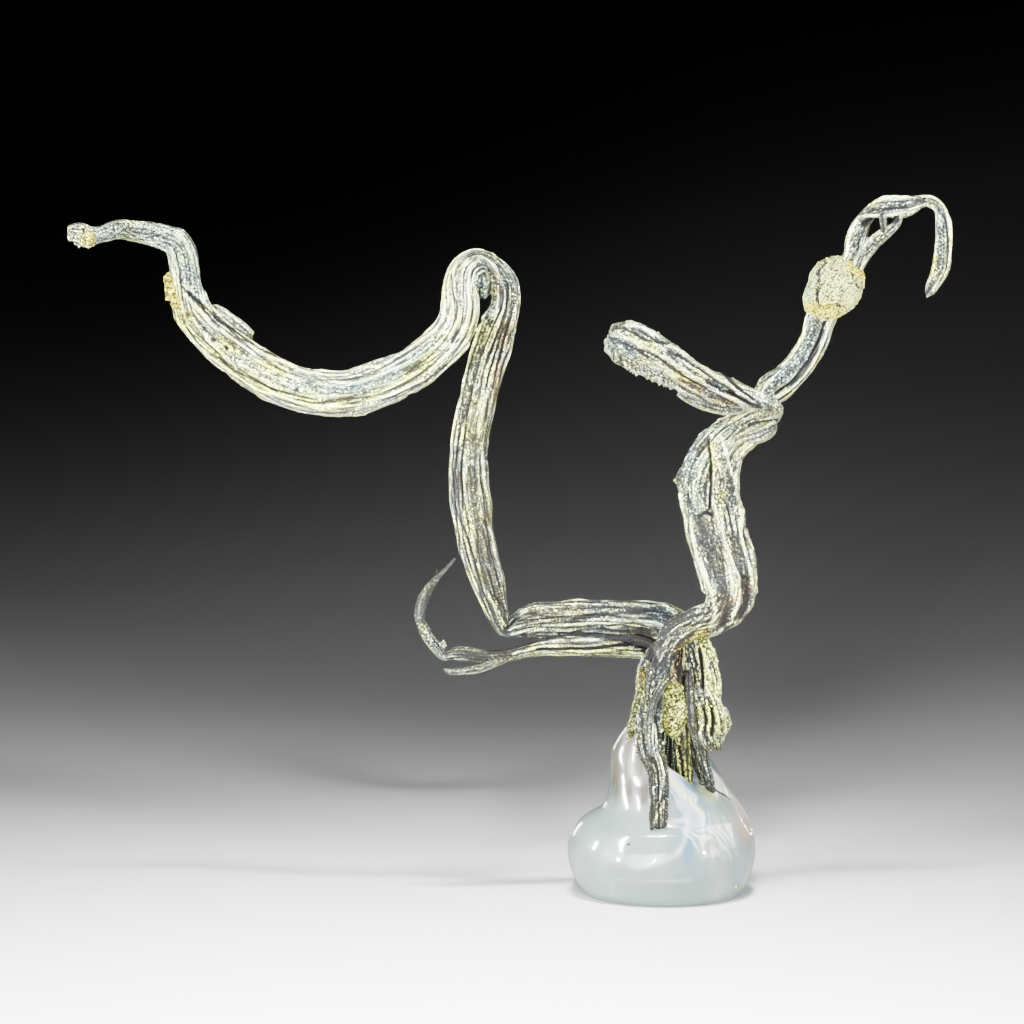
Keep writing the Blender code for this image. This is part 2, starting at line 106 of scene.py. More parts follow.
# The routes of the wires, close to those of the solids.
LEFT_ARM: list[Row] = [
    (1.3, 1.0, 16.4, 1.9, 1.2), (0.0, 1.1, 17.0, 2.4, 1.3), (-2.2, 1.1, 17.3, 2.4, 1.25),
    (-4.1, 0.95, 17.35, 2.35, 1.15), (-6.6, 0.65, 17.35, 2.35, 1.1), (-8.2, 0.35, 17.3, 2.15, 1.05),
    (-9.3, 0.1, 17.05, 1.45, 0.95), (-10.0, -0.15, 16.9, 0.95, 0.9), (-10.3, -0.3, 17.45, 1.15, 0.9),
    (-10.6, -0.25, 18.4, 1.6, 0.95), (-11.1, -0.1, 19.8, 2.05, 1.0), (-11.75, 0.0, 22.2, 2.35, 1.05),
    (-12.15, 0.0, 25.0, 2.45, 1.05), (-12.3, 0.0, 27.8, 2.4, 1.05), (-11.9, 0.2, 30.6, 2.3, 1.05),
    (-11.25, 0.5, 33.3, 2.25, 1.05), (-10.6, 0.8, 35.4, 2.3, 1.05), (-10.0, 1.0, 37.1, 1.75, 1.05),
    (-10.15, 1.0, 38.4, 1.8, 1.0, 15), (-10.95, 0.6, 39.45, 2.0, 1.0, 40),
    (-11.75, -0.2, 39.85, 2.0, 1.0, 50), (-12.45, -1.0, 39.5, 2.1, 1.0, 30),
    (-12.75, -1.4, 38.5, 2.25, 1.0, 10), (-12.8, -1.4, 37.2, 2.4, 1.0), (-13.3, -1.2, 35.6, 2.6, 1.0),
    (-14.9, -0.9, 33.9, 2.65, 1.0), (-16.7, -0.5, 32.75, 2.75, 1.0), (-19.2, 0.0, 31.8, 2.9, 1.05),
    (-20.9, 0.3, 31.63, 2.9, 1.05), (-22.4, 0.6, 31.8, 2.85, 1.05), (-24.0, 0.9, 32.25, 2.8, 1.05),
    (-25.5, 1.2, 33.0, 2.8, 1.0), (-26.95, 1.4, 34.0, 2.75, 1.0), (-28.25, 1.6, 35.1, 2.65, 0.95),
    (-29.15, 1.6, 36.1, 2.5, 0.95), (-29.65, 1.5, 37.1, 2.3, 0.9), (-29.9, 1.4, 38.5, 2.0, 0.9),
    (-30.0, 1.2, 39.7, 1.85, 0.85), (-30.35, 1.0, 40.8, 1.8, 0.85), (-31.1, 0.8, 41.35, 1.55, 0.8),
    (-32.2, 0.6, 41.65, 1.35, 0.75), (-33.15, 0.4, 41.8, 1.2, 0.75), (-34.1, 0.3, 41.9, 1.1, 0.75),
    (-35.1, 0.2, 41.6, 1.0, 0.75), (-35.8, 0.2, 41.5, 1.3, 0.8), (-36.6, 0.2, 41.7, 1.3, 0.8),
    (-37.1, 0.2, 41.75, 0.8, 0.6),
]
# A black strip of painted shadow in the crevice between the level run and the spur.
CREVICE_SHADOW: list[Row] = [
    (-8.4, 0.3, 16.15, 0.15, 0.2), (-7.4, 0.35, 16.25, 0.3, 0.3), (-5.3, 0.35, 16.25, 0.35, 0.3),
    (-3.6, 0.3, 16.2, 0.45, 0.4), (-1.9, 0.2, 16.15, 0.55, 0.4), (-0.8, 0.1, 15.85, 0.6, 0.5),
]
HAIRPIN_WEB: list[Row] = [
    (-11.3, 0.1, 39.3, 0.7, 0.5), (-11.3, 0.1, 38.8, 1.3, 0.6), (-11.35, 0.2, 38.2, 1.2, 0.6),
    (-11.45, 0.3, 37.8, 0.6, 0.4),
]
SPUR_SPIKE: list[Row] = [
    (-14.1, -1.25, 20.25, 0.2, 0.18), (-14.2, -1.25, 20.45, 0.14, 0.14), (-14.25, -1.25, 20.65, 0.09, 0.09),
]
BOW_FLAKE: list[Row] = [
    (-28.2, 1.85, 36.95, 0.5, 0.4), (-27.55, 1.8, 36.4, 0.8, 0.5), (-26.75, 1.7, 35.8, 0.85, 0.5),
    (-25.9, 1.6, 35.15, 0.7, 0.4),
]
SPUR: list[Row] = [
    (0.2, 0.45, 15.3, 1.0, 0.85), (-1.2, 0.4, 15.42, 1.15, 0.8), (-2.5, 0.35, 15.5, 1.15, 0.8),
    (-4.1, 0.2, 15.62, 1.2, 0.75), (-5.7, 0.1, 15.68, 1.2, 0.7), (-7.2, 0.0, 15.7, 1.0, 0.65),
    (-8.5, -0.1, 15.52, 0.85, 0.6), (-9.8, -0.2, 15.2, 0.75, 0.6), (-11.1, -0.3, 15.1, 0.75, 0.6),
    (-12.3, -0.4, 15.3, 0.85, 0.55), (-13.2, -0.4, 15.3, 0.8, 0.5), (-13.85, -0.4, 15.2, 0.6, 0.5),
    (-14.25, -0.5, 15.7, 0.75, 0.5), (-14.8, -0.7, 16.5, 0.8, 0.5), (-15.25, -0.9, 17.6, 0.75, 0.5),
    (-15.2, -1.1, 18.5, 0.75, 0.5), (-14.85, -1.2, 19.4, 0.6, 0.45), (-14.4, -1.3, 20.05, 0.4, 0.35),
    (-13.8, -1.3, 20.7, 0.24, 0.24), (-13.15, -1.3, 21.4, 0.16, 0.16),
]
SPUR_THREAD: list[Row] = [
    (-9.6, -0.2, 15.1, 0.4, 0.4), (-10.6, -0.4, 14.75, 0.5, 0.4), (-11.6, -0.6, 14.4, 0.55, 0.4),
    (-12.6, -0.7, 14.25, 0.4, 0.35), (-13.4, -0.7, 14.2, 0.36, 0.3), (-13.85, -0.7, 14.35, 0.2, 0.2),
]
RIGHT_ARM: list[Row] = [
    (-1.05, -2.0, 12.0, 0.5, 0.5), (-0.9, -2.3, 13.3, 0.8, 0.65), (-0.6, -2.45, 14.4, 1.0, 0.8),
    (-0.15, -2.5, 15.3, 1.15, 1.0), (0.1, -2.4, 16.0, 1.3, 1.1), (0.5, -2.15, 16.75, 1.55, 1.15),
    (1.2, -1.85, 17.2, 1.55, 1.15), (2.0, -1.5, 17.5, 1.8, 1.2), (2.9, -1.15, 17.7, 2.2, 1.25),
    (3.65, -0.8, 18.35, 2.8, 1.4), (3.95, -0.6, 19.1, 3.3, 1.5), (3.85, -0.45, 20.6, 3.6, 1.6),
    (3.2, -0.3, 22.9, 3.6, 1.7), (2.85, -0.2, 24.4, 3.5, 1.75), (2.6, -0.2, 25.7, 3.55, 1.75),
    (2.85, -0.2, 27.15, 3.45, 1.65), (3.75, -0.2, 28.65, 2.8, 1.5), (5.3, -0.2, 29.85, 2.2, 1.15),
    (6.35, -0.35, 30.4, 1.6, 1.0), (6.8, -0.7, 30.8, 0.95, 0.95), (6.25, -0.95, 31.2, 0.8, 1.1),
    (5.2, -1.2, 31.5, 1.15, 1.4), (3.85, -1.6, 31.9, 1.75, 1.7), (2.5, -2.05, 32.4, 2.0, 2.0),
    (1.35, -2.5, 32.98, 2.1, 2.1), (0.15, -3.0, 33.68, 2.5, 2.2), (-0.9, -3.45, 34.28, 2.7, 2.25),
    (-1.8, -3.8, 34.85, 2.75, 2.2), (-2.75, -4.1, 35.35, 2.65, 2.0), (-3.35, -4.25, 35.6, 1.9, 1.5),
]
STUB_FLAKE: list[Row] = [
    (4.6, -1.5, 30.9, 0.5, 0.6), (3.7, -1.9, 30.95, 0.8, 0.7), (2.6, -2.3, 31.25, 0.85, 0.7),
    (1.6, -2.6, 31.65, 0.8, 0.6), (0.8, -2.8, 32.05, 0.45, 0.4),
]
TENDRIL: list[Row] = [
    (5.9, -0.1, 31.1, 1.0, 0.6), (6.45, 0.5, 31.65, 1.9, 0.9), (7.35, 0.7, 32.3, 2.05, 1.0),
    (8.5, 0.6, 33.5, 1.9, 1.0), (9.25, 0.5, 34.9, 1.85, 1.0), (9.65, 0.4, 36.2, 1.8, 0.95),
    (10.2, 0.3, 37.4, 1.7, 0.9),
]
HOOK: list[Row] = [
    (11.1, 0.3, 38.9, 1.3, 0.8), (11.75, 0.3, 40.25, 1.3, 0.75), (11.8, 0.3, 41.2, 1.25, 0.7, 5),
    (12.1, 0.2, 42.1, 1.15, 0.6, 20), (12.75, 0.1, 42.95, 1.1, 0.55, 35), (13.5, 0.0, 43.35, 1.4, 0.55, 35),
    (14.25, 0.1, 43.35, 1.6, 0.55, 25), (15.0, 0.2, 43.35, 1.2, 0.55, 10), (15.75, 0.4, 43.6, 0.8, 0.55),
    (16.45, 0.5, 43.6, 0.75, 0.55), (17.0, 0.6, 43.1, 0.8, 0.5), (17.25, 0.7, 42.05, 1.0, 0.5),
    (17.3, 0.7, 40.7, 1.1, 0.5), (17.15, 0.6, 39.45, 1.1, 0.5), (16.6, 0.5, 38.3, 0.8, 0.45),
    (16.3, 0.4, 37.8, 0.4, 0.3),
]
HOOK_STRAND: list[Row] = [
    (11.9, -0.1, 39.6, 0.7, 0.5), (12.3, -0.3, 40.5, 0.9, 0.5), (12.9, -0.35, 41.2, 0.95, 0.5),
    (13.6, -0.3, 41.75, 0.8, 0.5), (14.25, -0.2, 42.35, 0.6, 0.5), (14.4, 0.0, 43.1, 0.5, 0.5),
]
HOOK_PLATE: list[Row] = [
    (12.1, -0.2, 42.85, 0.35, 0.35), (12.6, -0.28, 43.05, 0.75, 0.45), (13.3, -0.32, 43.3, 1.15, 0.5),
    (14.1, -0.3, 43.42, 1.3, 0.5), (14.9, -0.1, 43.5, 1.0, 0.45), (15.7, 0.15, 43.65, 0.55, 0.4),
]
HOOK_POST: list[Row] = [
    (13.4, -0.45, 42.95, 0.5, 0.35), (13.45, -0.5, 42.4, 0.45, 0.35), (13.5, -0.5, 41.9, 0.35, 0.3),
]
CURLED_LOBE: list[Row] = [
    (4.9, -0.7, 28.95, 0.5, 0.5), (5.35, -0.85, 29.05, 0.9, 0.9), (5.85, -0.95, 29.2, 1.1, 1.0),
    (6.35, -0.9, 29.45, 1.0, 0.9), (6.75, -0.75, 29.75, 0.6, 0.6),
]
OLIVE_EDGE: list[Row] = [
    (-1.15, -1.4, 14.7, 0.4, 0.4), (-1.4, -1.7, 14.3, 0.7, 0.6), (-1.45, -1.9, 13.5, 0.55, 0.6),
    (-1.65, -1.95, 12.6, 0.6, 0.6), (-1.85, -1.85, 11.7, 0.6, 0.5), (-2.1, -1.5, 10.8, 0.5, 0.45),
    (-2.2, -1.1, 9.6, 0.4, 0.4),
]
WAVY_STRAND: list[Row] = [
    (0.35, -2.2, 14.2, 0.4, 0.4), (-0.1, -2.55, 13.8, 0.5, 0.4), (-0.5, -2.7, 13.1, 0.5, 0.4),
    (-0.85, -2.65, 12.3, 0.5, 0.4), (-0.95, -2.55, 11.3, 0.5, 0.4), (-1.0, -2.6, 10.2, 0.5, 0.4),
    (-0.75, -2.7, 9.2, 0.4, 0.35),
]
ROOT_FRONT: list[Row] = [
    (-0.4, -0.6, 15.6, 1.1, 1.2), (-0.75, -1.0, 14.5, 1.6, 1.5), (-0.95, -1.35, 13.0, 1.75, 1.6),
    (-1.05, -1.7, 11.4, 1.9, 1.5), (-0.95, -2.1, 9.8, 1.75, 1.3), (-0.5, -2.6, 8.3, 1.35, 1.1),
    (-0.4, -3.1, 6.7, 1.2, 0.95), (-0.4, -3.7, 5.7, 1.15, 0.9), (-0.4, -4.25, 4.95, 1.15, 0.85),
]
ROOT_LEFT: list[Row] = [
    (-0.55, -0.2, 14.7, 1.2, 1.8), (-0.95, -0.3, 12.2, 1.6, 2.0), (-1.65, -0.3, 9.8, 1.6, 1.8),
    (-1.95, -0.3, 7.8, 1.3, 1.4), (-1.8, -0.3, 6.0, 0.8, 0.9),
]
ROOT_MATRIX: list[Row] = [
    (0.7, -0.6, 16.2, 1.3, 1.4), (0.65, -0.75, 15.0, 1.5, 1.5), (0.6, -0.9, 13.8, 1.3, 1.5),
    (0.75, -0.9, 12.2, 1.2, 1.4), (1.0, -0.95, 10.6, 1.0, 1.2), (1.1, -1.0, 9.4, 1.0, 0.9),
    (1.2, -1.05, 8.2, 1.0, 0.8), (1.3, -1.05, 7.0, 0.95, 0.7), (1.4, -0.95, 6.0, 0.8, 0.6),
]
DARK_STRAND: list[Row] = [
    (1.5, -1.3, 14.3, 0.5, 0.5), (1.55, -1.6, 13.1, 0.6, 0.5), (1.65, -1.7, 11.9, 0.65, 0.5),
    (1.8, -1.5, 10.9, 0.7, 0.6), (2.1, -1.1, 10.1, 0.75, 0.7), (2.35, -0.85, 9.3, 0.75, 0.7),
    (2.55, -0.95, 8.2, 0.7, 0.6), (2.85, -0.95, 7.1, 0.6, 0.5), (3.0, -0.9, 6.2, 0.5, 0.5),
]
CURL_LOBE: list[Row] = [
    (2.35, -0.9, 13.0, 1.4, 0.9), (2.7, -1.25, 12.1, 1.6, 1.0), (2.9, -1.45, 11.1, 1.75, 1.1),
    (2.95, -1.4, 10.2, 1.6, 1.0), (3.15, -1.2, 9.5, 1.1, 0.8),
]
GLUE_HAIR: list[Row] = [
    (2.35, -1.65, 7.75, 0.1, 0.1), (2.2, -1.75, 7.35, 0.1, 0.1), (2.45, -1.7, 7.2, 0.12, 0.1),
    (2.9, -1.7, 7.05, 0.12, 0.1), (3.3, -1.68, 6.8, 0.11, 0.1), (3.8, -1.55, 6.5, 0.1, 0.1),
    (4.15, -1.4, 6.2, 0.08, 0.08),
]
ROOT_BACK: list[Row] = [
    (1.0, 0.7, 17.1, 1.9, 1.8), (1.0, 0.9, 15.2, 2.9, 2.3), (0.9, 0.9, 12.5, 3.4, 2.4),
    (0.7, 0.8, 9.8, 3.1, 2.2), (0.6, 0.7, 7.0, 2.6, 1.9), (0.5, 0.6, 4.2, 2.0, 1.5),
]
ROOT_RIGHT: list[Row] = [
    (1.5, -0.1, 16.9, 1.5, 1.2), (2.1, -0.4, 15.3, 1.85, 1.4), (2.5, -0.6, 13.4, 1.85, 1.5),
    (2.6, -0.7, 12.2, 1.8, 1.5),
]
ROOT_THREAD: list[Row] = [
    (1.6, 0.1, 10.2, 0.9, 1.0), (2.2, -0.3, 8.3, 0.75, 0.8), (2.75, -0.6, 6.4, 0.6, 0.6),
]


@dataclass(frozen=True)
class Noise:
    """Repeatable relief: the same seed gives the same lumps."""

    seed: int

    def tables(self) -> tuple[Array, Array]:
        """Makes the shuffled numbers that pick a value for each lattice cell.

        Returns:
            A permutation of 256 numbers, and 256 random directions.
        """
        dice = np.random.default_rng(self.seed)
        shuffled = dice.permutation(256)
        slopes = dice.normal(size=(256, 3))
        return shuffled, slopes / np.linalg.norm(slopes, axis=1, keepdims=True)

    def pick(self, shuffled: Array, cell: Array) -> Array:
        """Gives each lattice cell one number of the table.

        Args:
            shuffled: the table.
            cell: whole x, y and z along the last axis.

        Returns:
            Numbers from 0 to 255.
        """
        at = cell & 255
        row = shuffled[(shuffled[at[..., 0]] + at[..., 1]) & 255]
        return shuffled[(row + at[..., 2]) & 255]

    def smooth(self, points: Array) -> Array:
        """Soft hills and hollows, one to each unit of length.

        Args:
            points: places, with x, y and z along the last axis.

        Returns:
            Heights of about -1 to 1.
        """
        shuffled, slopes = self.tables()
        cell = np.floor(points).astype(int)
        inside = points - cell
        eased = inside**3 * (inside * (inside * 6 - 15) + 10)
        total = np.zeros(points.shape[:-1])
        for corner in product((0, 1), repeat=3):
            shift = np.array(corner)
            slope = slopes[self.pick(shuffled, cell + shift)]
            share = np.prod(np.where(shift == 1, eased, 1 - eased), axis=-1)
            total += share * ((inside - shift) * slope).sum(-1)
        return total * 1.7

    def grains(self, points: Array) -> Array:
        """Rounded grains, one to each unit of length, with creases between them.

        Args:
            points: places, with x, y and z along the last axis.

        Returns:
            Heights from 0 in a crease to 1 on a grain's top.
        """
        shuffled, slopes = self.tables()
        cell = np.floor(points).astype(int)
        inside = points - cell
        near = np.full(points.shape[:-1], 9.0)
        second = near.copy()
        for corner in product((-1, 0, 1), repeat=3):
            shift = np.array(corner)
            seat = shift + 0.5 + 0.45 * slopes[self.pick(shuffled, cell + shift)]
            away = np.sqrt(((seat - inside) ** 2).sum(-1))
            second = np.minimum(second, np.maximum(near, away))
            near = np.minimum(near, away)
        return np.clip((second - near) * 1.6, 0.0, 1.0)


@dataclass(frozen=True)
class Mark:
    """A groove, a ridge, or a patch of colour, grains, wear or painted shadow, along a line of (x, z) points.
    """

    line: tuple[Point, ...]
    reach: float
    depth: float = 0.0  # of a groove, or below 0 of a ridge
    pale: float = 0.0  # how much brighter it is
    tint: Tint | None = None
    strength: float = 1.0  # of the tint
    grain: float = 0.0  # height of the bare crystal grains in it
    worn: float = 0.0  # how far the bands and lines are worn away in it
    round_the_back: bool = False

    def share(self, places: Array, facing: Array) -> Array:
        """How much of the mark each place has.

        Args:
            places: (x, y, z) along the last axis.
            facing: 1 on the show side and -1 on the back.

        Returns:
            1 on the line, falling to 0 at its reach.
        """
        flat = places[..., [0, 2]]
        ends = np.array(self.line if len(self.line) > 1 else self.line * 2)
        near = np.full(flat.shape[:-1], 1e9)
        for start, end in zip(ends, ends[1:]):
            run = end - start
            part = np.clip(((flat - start) @ run) / max(run @ run, 1e-9), 0, 1)
            away = flat - start - part[..., None] * run
            near = np.minimum(near, np.sqrt((away**2).sum(-1)))
        share = np.clip(1 - near / self.reach, 0, 1)
        share = share * share * (3 - 2 * share)
        if not self.round_the_back:
            share = share * np.clip(facing * 2 + 0.6, 0, 1)
        return share


def ridge(*line: Point) -> Mark:
    """A thin bright ridge."""
    return Mark(line, 0.17, depth=-0.11, pale=0.28)


def crack(*line: Point) -> Mark:
    """A thin black crack."""
    return Mark(line, 0.15, depth=0.22, pale=-0.5)


def channel(reach: float, *line: Point) -> Mark:
    """A broad, dull hollow."""
    return Mark(line, reach, depth=0.22, pale=-0.24, worn=0.75)


def pit(*line: Point) -> Mark:
    """A small dark pit."""
    return Mark(line, 0.2, depth=0.2, pale=-0.5)


def rim_line(*line: Point) -> Mark:
    """A thin bright line that hardly stands out."""
    return Mark(line, 0.16, depth=-0.05, pale=0.42)


def hairline(*line: Point) -> Mark:
    """A fine dark line."""
    return Mark(line, 0.12, depth=0.07, pale=-0.6)


def rugged(reach: float, *line: Point) -> Mark:
    """A patch of bare crystal grains."""
    return Mark(line, reach, grain=0.13, worn=0.7)


def stain(tint: Tint, reach: float, *line: Point) -> Mark:
    """A patch of colour."""
    return Mark(line, reach, tint=tint, pale=-0.14 if tint in (Tint.BROWN, Tint.BLUE) else 0.12)


# Ribs that sweep from the roots up into the right arm, from the outermost in, as (x, z) lines.
BUNDLE_RIBS: list[tuple[Point, ...]] = [
    ((-0.95, 15.4), (-0.45, 16.4), (0.5, 17.2), (1.8, 17.9), (2.4, 18.7)),
    ((-0.9, 15.0), (-0.3, 16.1), (0.65, 16.95), (1.8, 17.6), (2.6, 18.3)),
    ((-0.75, 14.7), (-0.1, 15.8), (0.8, 16.65), (1.9, 17.3), (2.8, 18.0)),
    ((-0.55, 14.5), (0.15, 15.55), (1.0, 16.35), (2.1, 17.0), (3.1, 17.75)),
    ((-0.35, 14.3), (0.4, 15.3), (1.25, 16.1), (2.3, 16.75)),
]

# Single features, as (x, z) lines on the show side.
LEFT_ARM_MARKS: list[Mark] = [
    Mark(
        ((-11.2, 36.0), (-12.1, 30.0), (-12.1, 26.0), (-11.2, 21.0), (-10.4, 18.3)), 1.7, tint=Tint.OLIVE,
        strength=0.5, pale=-0.03,
    ),
    Mark(((-10.9, 20.6), (-10.2, 18.4), (-9.9, 17.3)), 0.5, tint=Tint.BROWN, strength=0.9, pale=-0.1),
    # Painted shadow in the deep gap where the run, the spur and the roots meet.
    Mark(((-1.4, 16.3), (-0.9, 16.0)), 0.6, pale=-1.0),
    rugged(1.2, (-37.2, 41.6), (-35.6, 41.3)),
    Mark(((-30.3, 41.5),), 0.7, depth=-0.18),
    Mark(((-32.5, 42.4), (-33.5, 42.5)), 0.5, depth=-0.12),
    Mark(((-37.3, 41.4), (-36.9, 41.0), (-36.2, 41.0)), 0.45, depth=-0.12, pale=0.2, grain=0.2),
    Mark(
        ((-35.0, 41.9), (-33.0, 42.1), (-31.0, 41.4)), 1.1, tint=Tint.BLUE, strength=0.5, grain=0.08,
        worn=0.5,
    ),
    Mark(
        ((-30.2, 40.6), (-29.7, 39.2), (-29.3, 37.8)), 0.8, tint=Tint.BLUE, strength=0.7, grain=0.08,
        worn=0.6,
    ),
    Mark(((-29.9, 36.3), (-27.6, 34.5), (-25.3, 33.1), (-22.8, 32.2)), 0.7, grain=0.12, worn=0.7),
    Mark(((-22.8, 32.0), (-19.1, 31.9), (-16.5, 33.0)), 0.6, 0.0, -0.06, Tint.BLUE, 0.7, 0.08, 0.6),
    hairline((-29.4, 35.2), (-27.2, 33.2), (-24.6, 31.9), (-21.5, 31.2), (-18.4, 31.5)),
    hairline((-30.1, 38.2), (-28.6, 36.6), (-26.4, 35.0), (-24.2, 33.9)),
    Mark(((-11.9, 28.9), (-11.9, 25.2), (-11.5, 22.2), (-10.9, 19.9)), 0.5, 0.12, -0.1, worn=0.7),
    Mark(
        ((-12.4, 28.2), (-12.2, 27.4)), 0.5, pale=0.08, tint=Tint.OLIVE, strength=1.0, grain=0.16, worn=0.8,
    ),
    Mark(((-11.5, 33.5), (-11.9, 31.0)), 0.5, grain=0.1, worn=0.6),
    Mark(((-10.9, 18.9), (-10.2, 17.4)), 0.6, pale=0.05, grain=0.13, worn=0.5),
    ridge((-11.7, 21.0), (-11.2, 19.3), (-10.6, 18.3), (-10.1, 17.2)),
    hairline((-11.0, 20.6), (-10.6, 19.0), (-9.9, 18.0)),
    Mark(((-8.2, 17.9), (-5.0, 18.1), (-2.2, 17.9)), 0.45, pale=-0.08, grain=0.1, worn=0.6),
    Mark(((-6.5, 17.0), (-3.6, 16.9)), 0.35, grain=0.1, worn=0.6),
    crack((-10.1, 16.7), (-9.7, 17.1), (-9.3, 17.5)),
    crack((-11.2, 37.7), (-11.6, 36.5), (-12.1, 35.1)),
    # A groove along the run's lower edge, darkened as painted shade over the crevice.
    crack((-1.6, 16.2), (-4.1, 16.4), (-6.6, 16.5)),
    ridge((-1.6, 18.6), (-0.3, 18.4), (0.7, 17.7)),
    ridge((-9.6, 16.6), (-7.8, 16.9), (-4.1, 17.1), (-1.6, 16.9)),
    stain(Tint.BLUE, 1.3, (-1.0, 18.0), (0.6, 17.2)),
    stain(Tint.OLIVE, 0.5, (-12.2, 28.1), (-12.1, 27.7)),
    stain(Tint.OLIVE, 0.45, (-10.2, 17.4), (-10.1, 16.9)),
    stain(Tint.BROWN, 0.6, (-9.9, 35.8), (-10.3, 33.9), (-10.6, 31.4)),
    stain(Tint.BROWN, 0.5, (-11.1, 23.8), (-10.8, 21.3)),
    stain(
        Tint.OLIVE, 0.7, (-30.4, 36.3), (-28.1, 33.8), (-25.2, 32.0), (-21.5, 31.1), (-18.4, 31.5),
        (-15.2, 33.4), (-13.7, 35.5),
    ),
    stain(Tint.OLIVE, 0.6, (-27.7, 34.8), (-25.9, 33.8), (-23.7, 32.9)),
    stain(Tint.BLUE, 0.6, (-22.2, 32.2), (-18.9, 32.0)),
    stain(Tint.BLUE, 0.6, (-16.7, 33.5), (-14.6, 34.8)),
    stain(Tint.BLUE, 0.7, (-29.7, 40.4), (-29.0, 38.2)),
    stain(Tint.BLUE, 0.6, (-11.6, 38.9), (-11.2, 38.2)),
    stain(Tint.OLIVE, 0.5, (-30.1, 36.9), (-29.5, 36.1)),
    *map(pit, ((-28.8, 35.6), (-28.2, 34.9), (-27.4, 34.4), (-23.0, 31.9))),
    ridge((-29.9, 37.7), (-28.4, 35.9), (-25.9, 34.3), (-22.2, 33.0), (-17.8, 33.5)),
    crack((-29.7, 37.9), (-28.0, 36.3), (-25.2, 34.4)),
    ridge((-30.8, 36.5), (-28.7, 33.9), (-25.6, 31.9), (-21.5, 30.7), (-18.3, 31.1), (-15.1, 32.7)),
]
HAIRPIN_MARKS: list[Mark] = [
    Mark(((-11.5, 38.6), (-11.7, 37.4)), 1.0, tint=Tint.BLUE, pale=-0.1),
]
SPUR_MARKS: list[Mark] = [
    Mark(((-14.8, 17.0), (-12.0, 15.3), (-8.0, 15.6), (-1.0, 15.4)), 1.0, tint=Tint.OLIVE, strength=0.35),
    # Painted shadow at the spur's end, in the deep gap by the roots.
    Mark(((-2.3, 16.1), (-1.3, 15.8), (-0.9, 15.2), (-0.5, 14.9)), 0.5, depth=0.2, pale=-1.1),
    crack((-13.5, 15.0), (-13.1, 14.8)),
    crack((-1.5, 15.7), (-0.6, 15.6), (0.3, 15.2)),
    crack((-8.0, 15.6), (-5.0, 15.6), (-2.0, 15.9)),
    ridge((-9.5, 15.3), (-7.5, 15.8), (-5.0, 15.4), (-2.5, 15.6)),
    stain(Tint.OLIVE, 0.5, (-2.4, 15.4), (-2.1, 15.3)),
]
RIGHT_ARM_MARKS: list[Mark] = [
    # Painted shadow in the deep gap where the run, the spur and the roots meet.
    Mark(((-1.3, 16.6), (-1.15, 15.9), (-0.85, 15.2)), 0.55, depth=0.3, pale=-1.2),
    Mark(((-0.7, 14.6), (-0.9, 13.2), (-1.0, 12.0)), 0.9, pale=-0.08, grain=0.2, worn=0.8),
    stain(Tint.BROWN, 0.5, (0.3, 15.4), (0.9, 16.0), (1.5, 16.4)),
    *(Mark(line, 0.12, depth=-0.07, pale=0.1) for line in BUNDLE_RIBS),
    rugged(1.3, (1.6, 27.6), (1.4, 26.0), (1.7, 24.6)),
    rugged(0.9, (3.2, 28.6), (3.6, 26.6), (3.4, 24.8)),
    channel(0.75, (2.25, 23.9), (2.5, 22.6), (3.05, 21.1), (3.6, 19.7), (3.95, 18.5), (3.7, 17.3)),
    channel(0.5, (4.2, 22.8), (4.5, 21.5), (4.8, 20.4)),
    channel(0.5, (5.05, 19.9), (5.2, 18.9), (4.85, 17.8)),
    ridge((0.95, 25.3), (1.2, 23.4), (1.7, 21.3), (2.2, 19.8), (2.6, 19.0)),
    ridge((1.6, 24.0), (1.8, 22.6), (2.3, 20.9), (2.9, 19.4), (3.1, 18.2), (2.8, 17.3)),
    ridge(
        (2.9, 25.2), (3.2, 24.3), (3.5, 23.0), (4.05, 21.5), (4.65, 20.2), (4.6, 18.6), (4.1, 17.4),
        (3.4, 16.9),
    ),
    ridge((4.6, 24.4), (4.8, 22.9), (5.1, 21.5), (5.5, 20.2), (5.6, 19.2), (5.3, 18.2), (4.7, 17.4)),
    ridge((3.5, 28.9), (4.1, 27.0), (4.5, 25.1), (4.7, 23.3)),
    # Brown patches on the bend's inner side: a brown tint, their darkness partly painted shade.
    stain(Tint.BROWN, 0.7, (4.0, 18.7), (3.8, 17.5)),
    stain(Tint.BROWN, 0.5, (5.1, 19.8), (5.2, 18.7), (4.8, 17.7)),
    crack((5.2, 29.8), (6.0, 30.0), (6.9, 30.1)),
    stain(Tint.BLUE, 1.4, (1.6, 27.5), (1.4, 26.0), (1.9, 24.6)),
    stain(Tint.OLIVE, 0.7, (2.9, 28.4), (3.1, 27.4)),
    stain(Tint.OLIVE, 0.55, (3.5, 25.4), (3.6, 24.3)),
    stain(Tint.GOLD, 0.4, (0.7, 16.0), (1.5, 16.5), (2.4, 17.1)),
    crack((2.1, 24.1), (2.5, 24.35), (2.9, 24.2)),
    crack((2.6, 28.9), (2.8, 27.6), (2.85, 26.2), (2.75, 24.6)),
    crack((5.0, 20.3), (5.3, 20.2)),
    stain(Tint.BLUE, 0.6, (3.4, 29.9), (4.3, 29.4)),
]
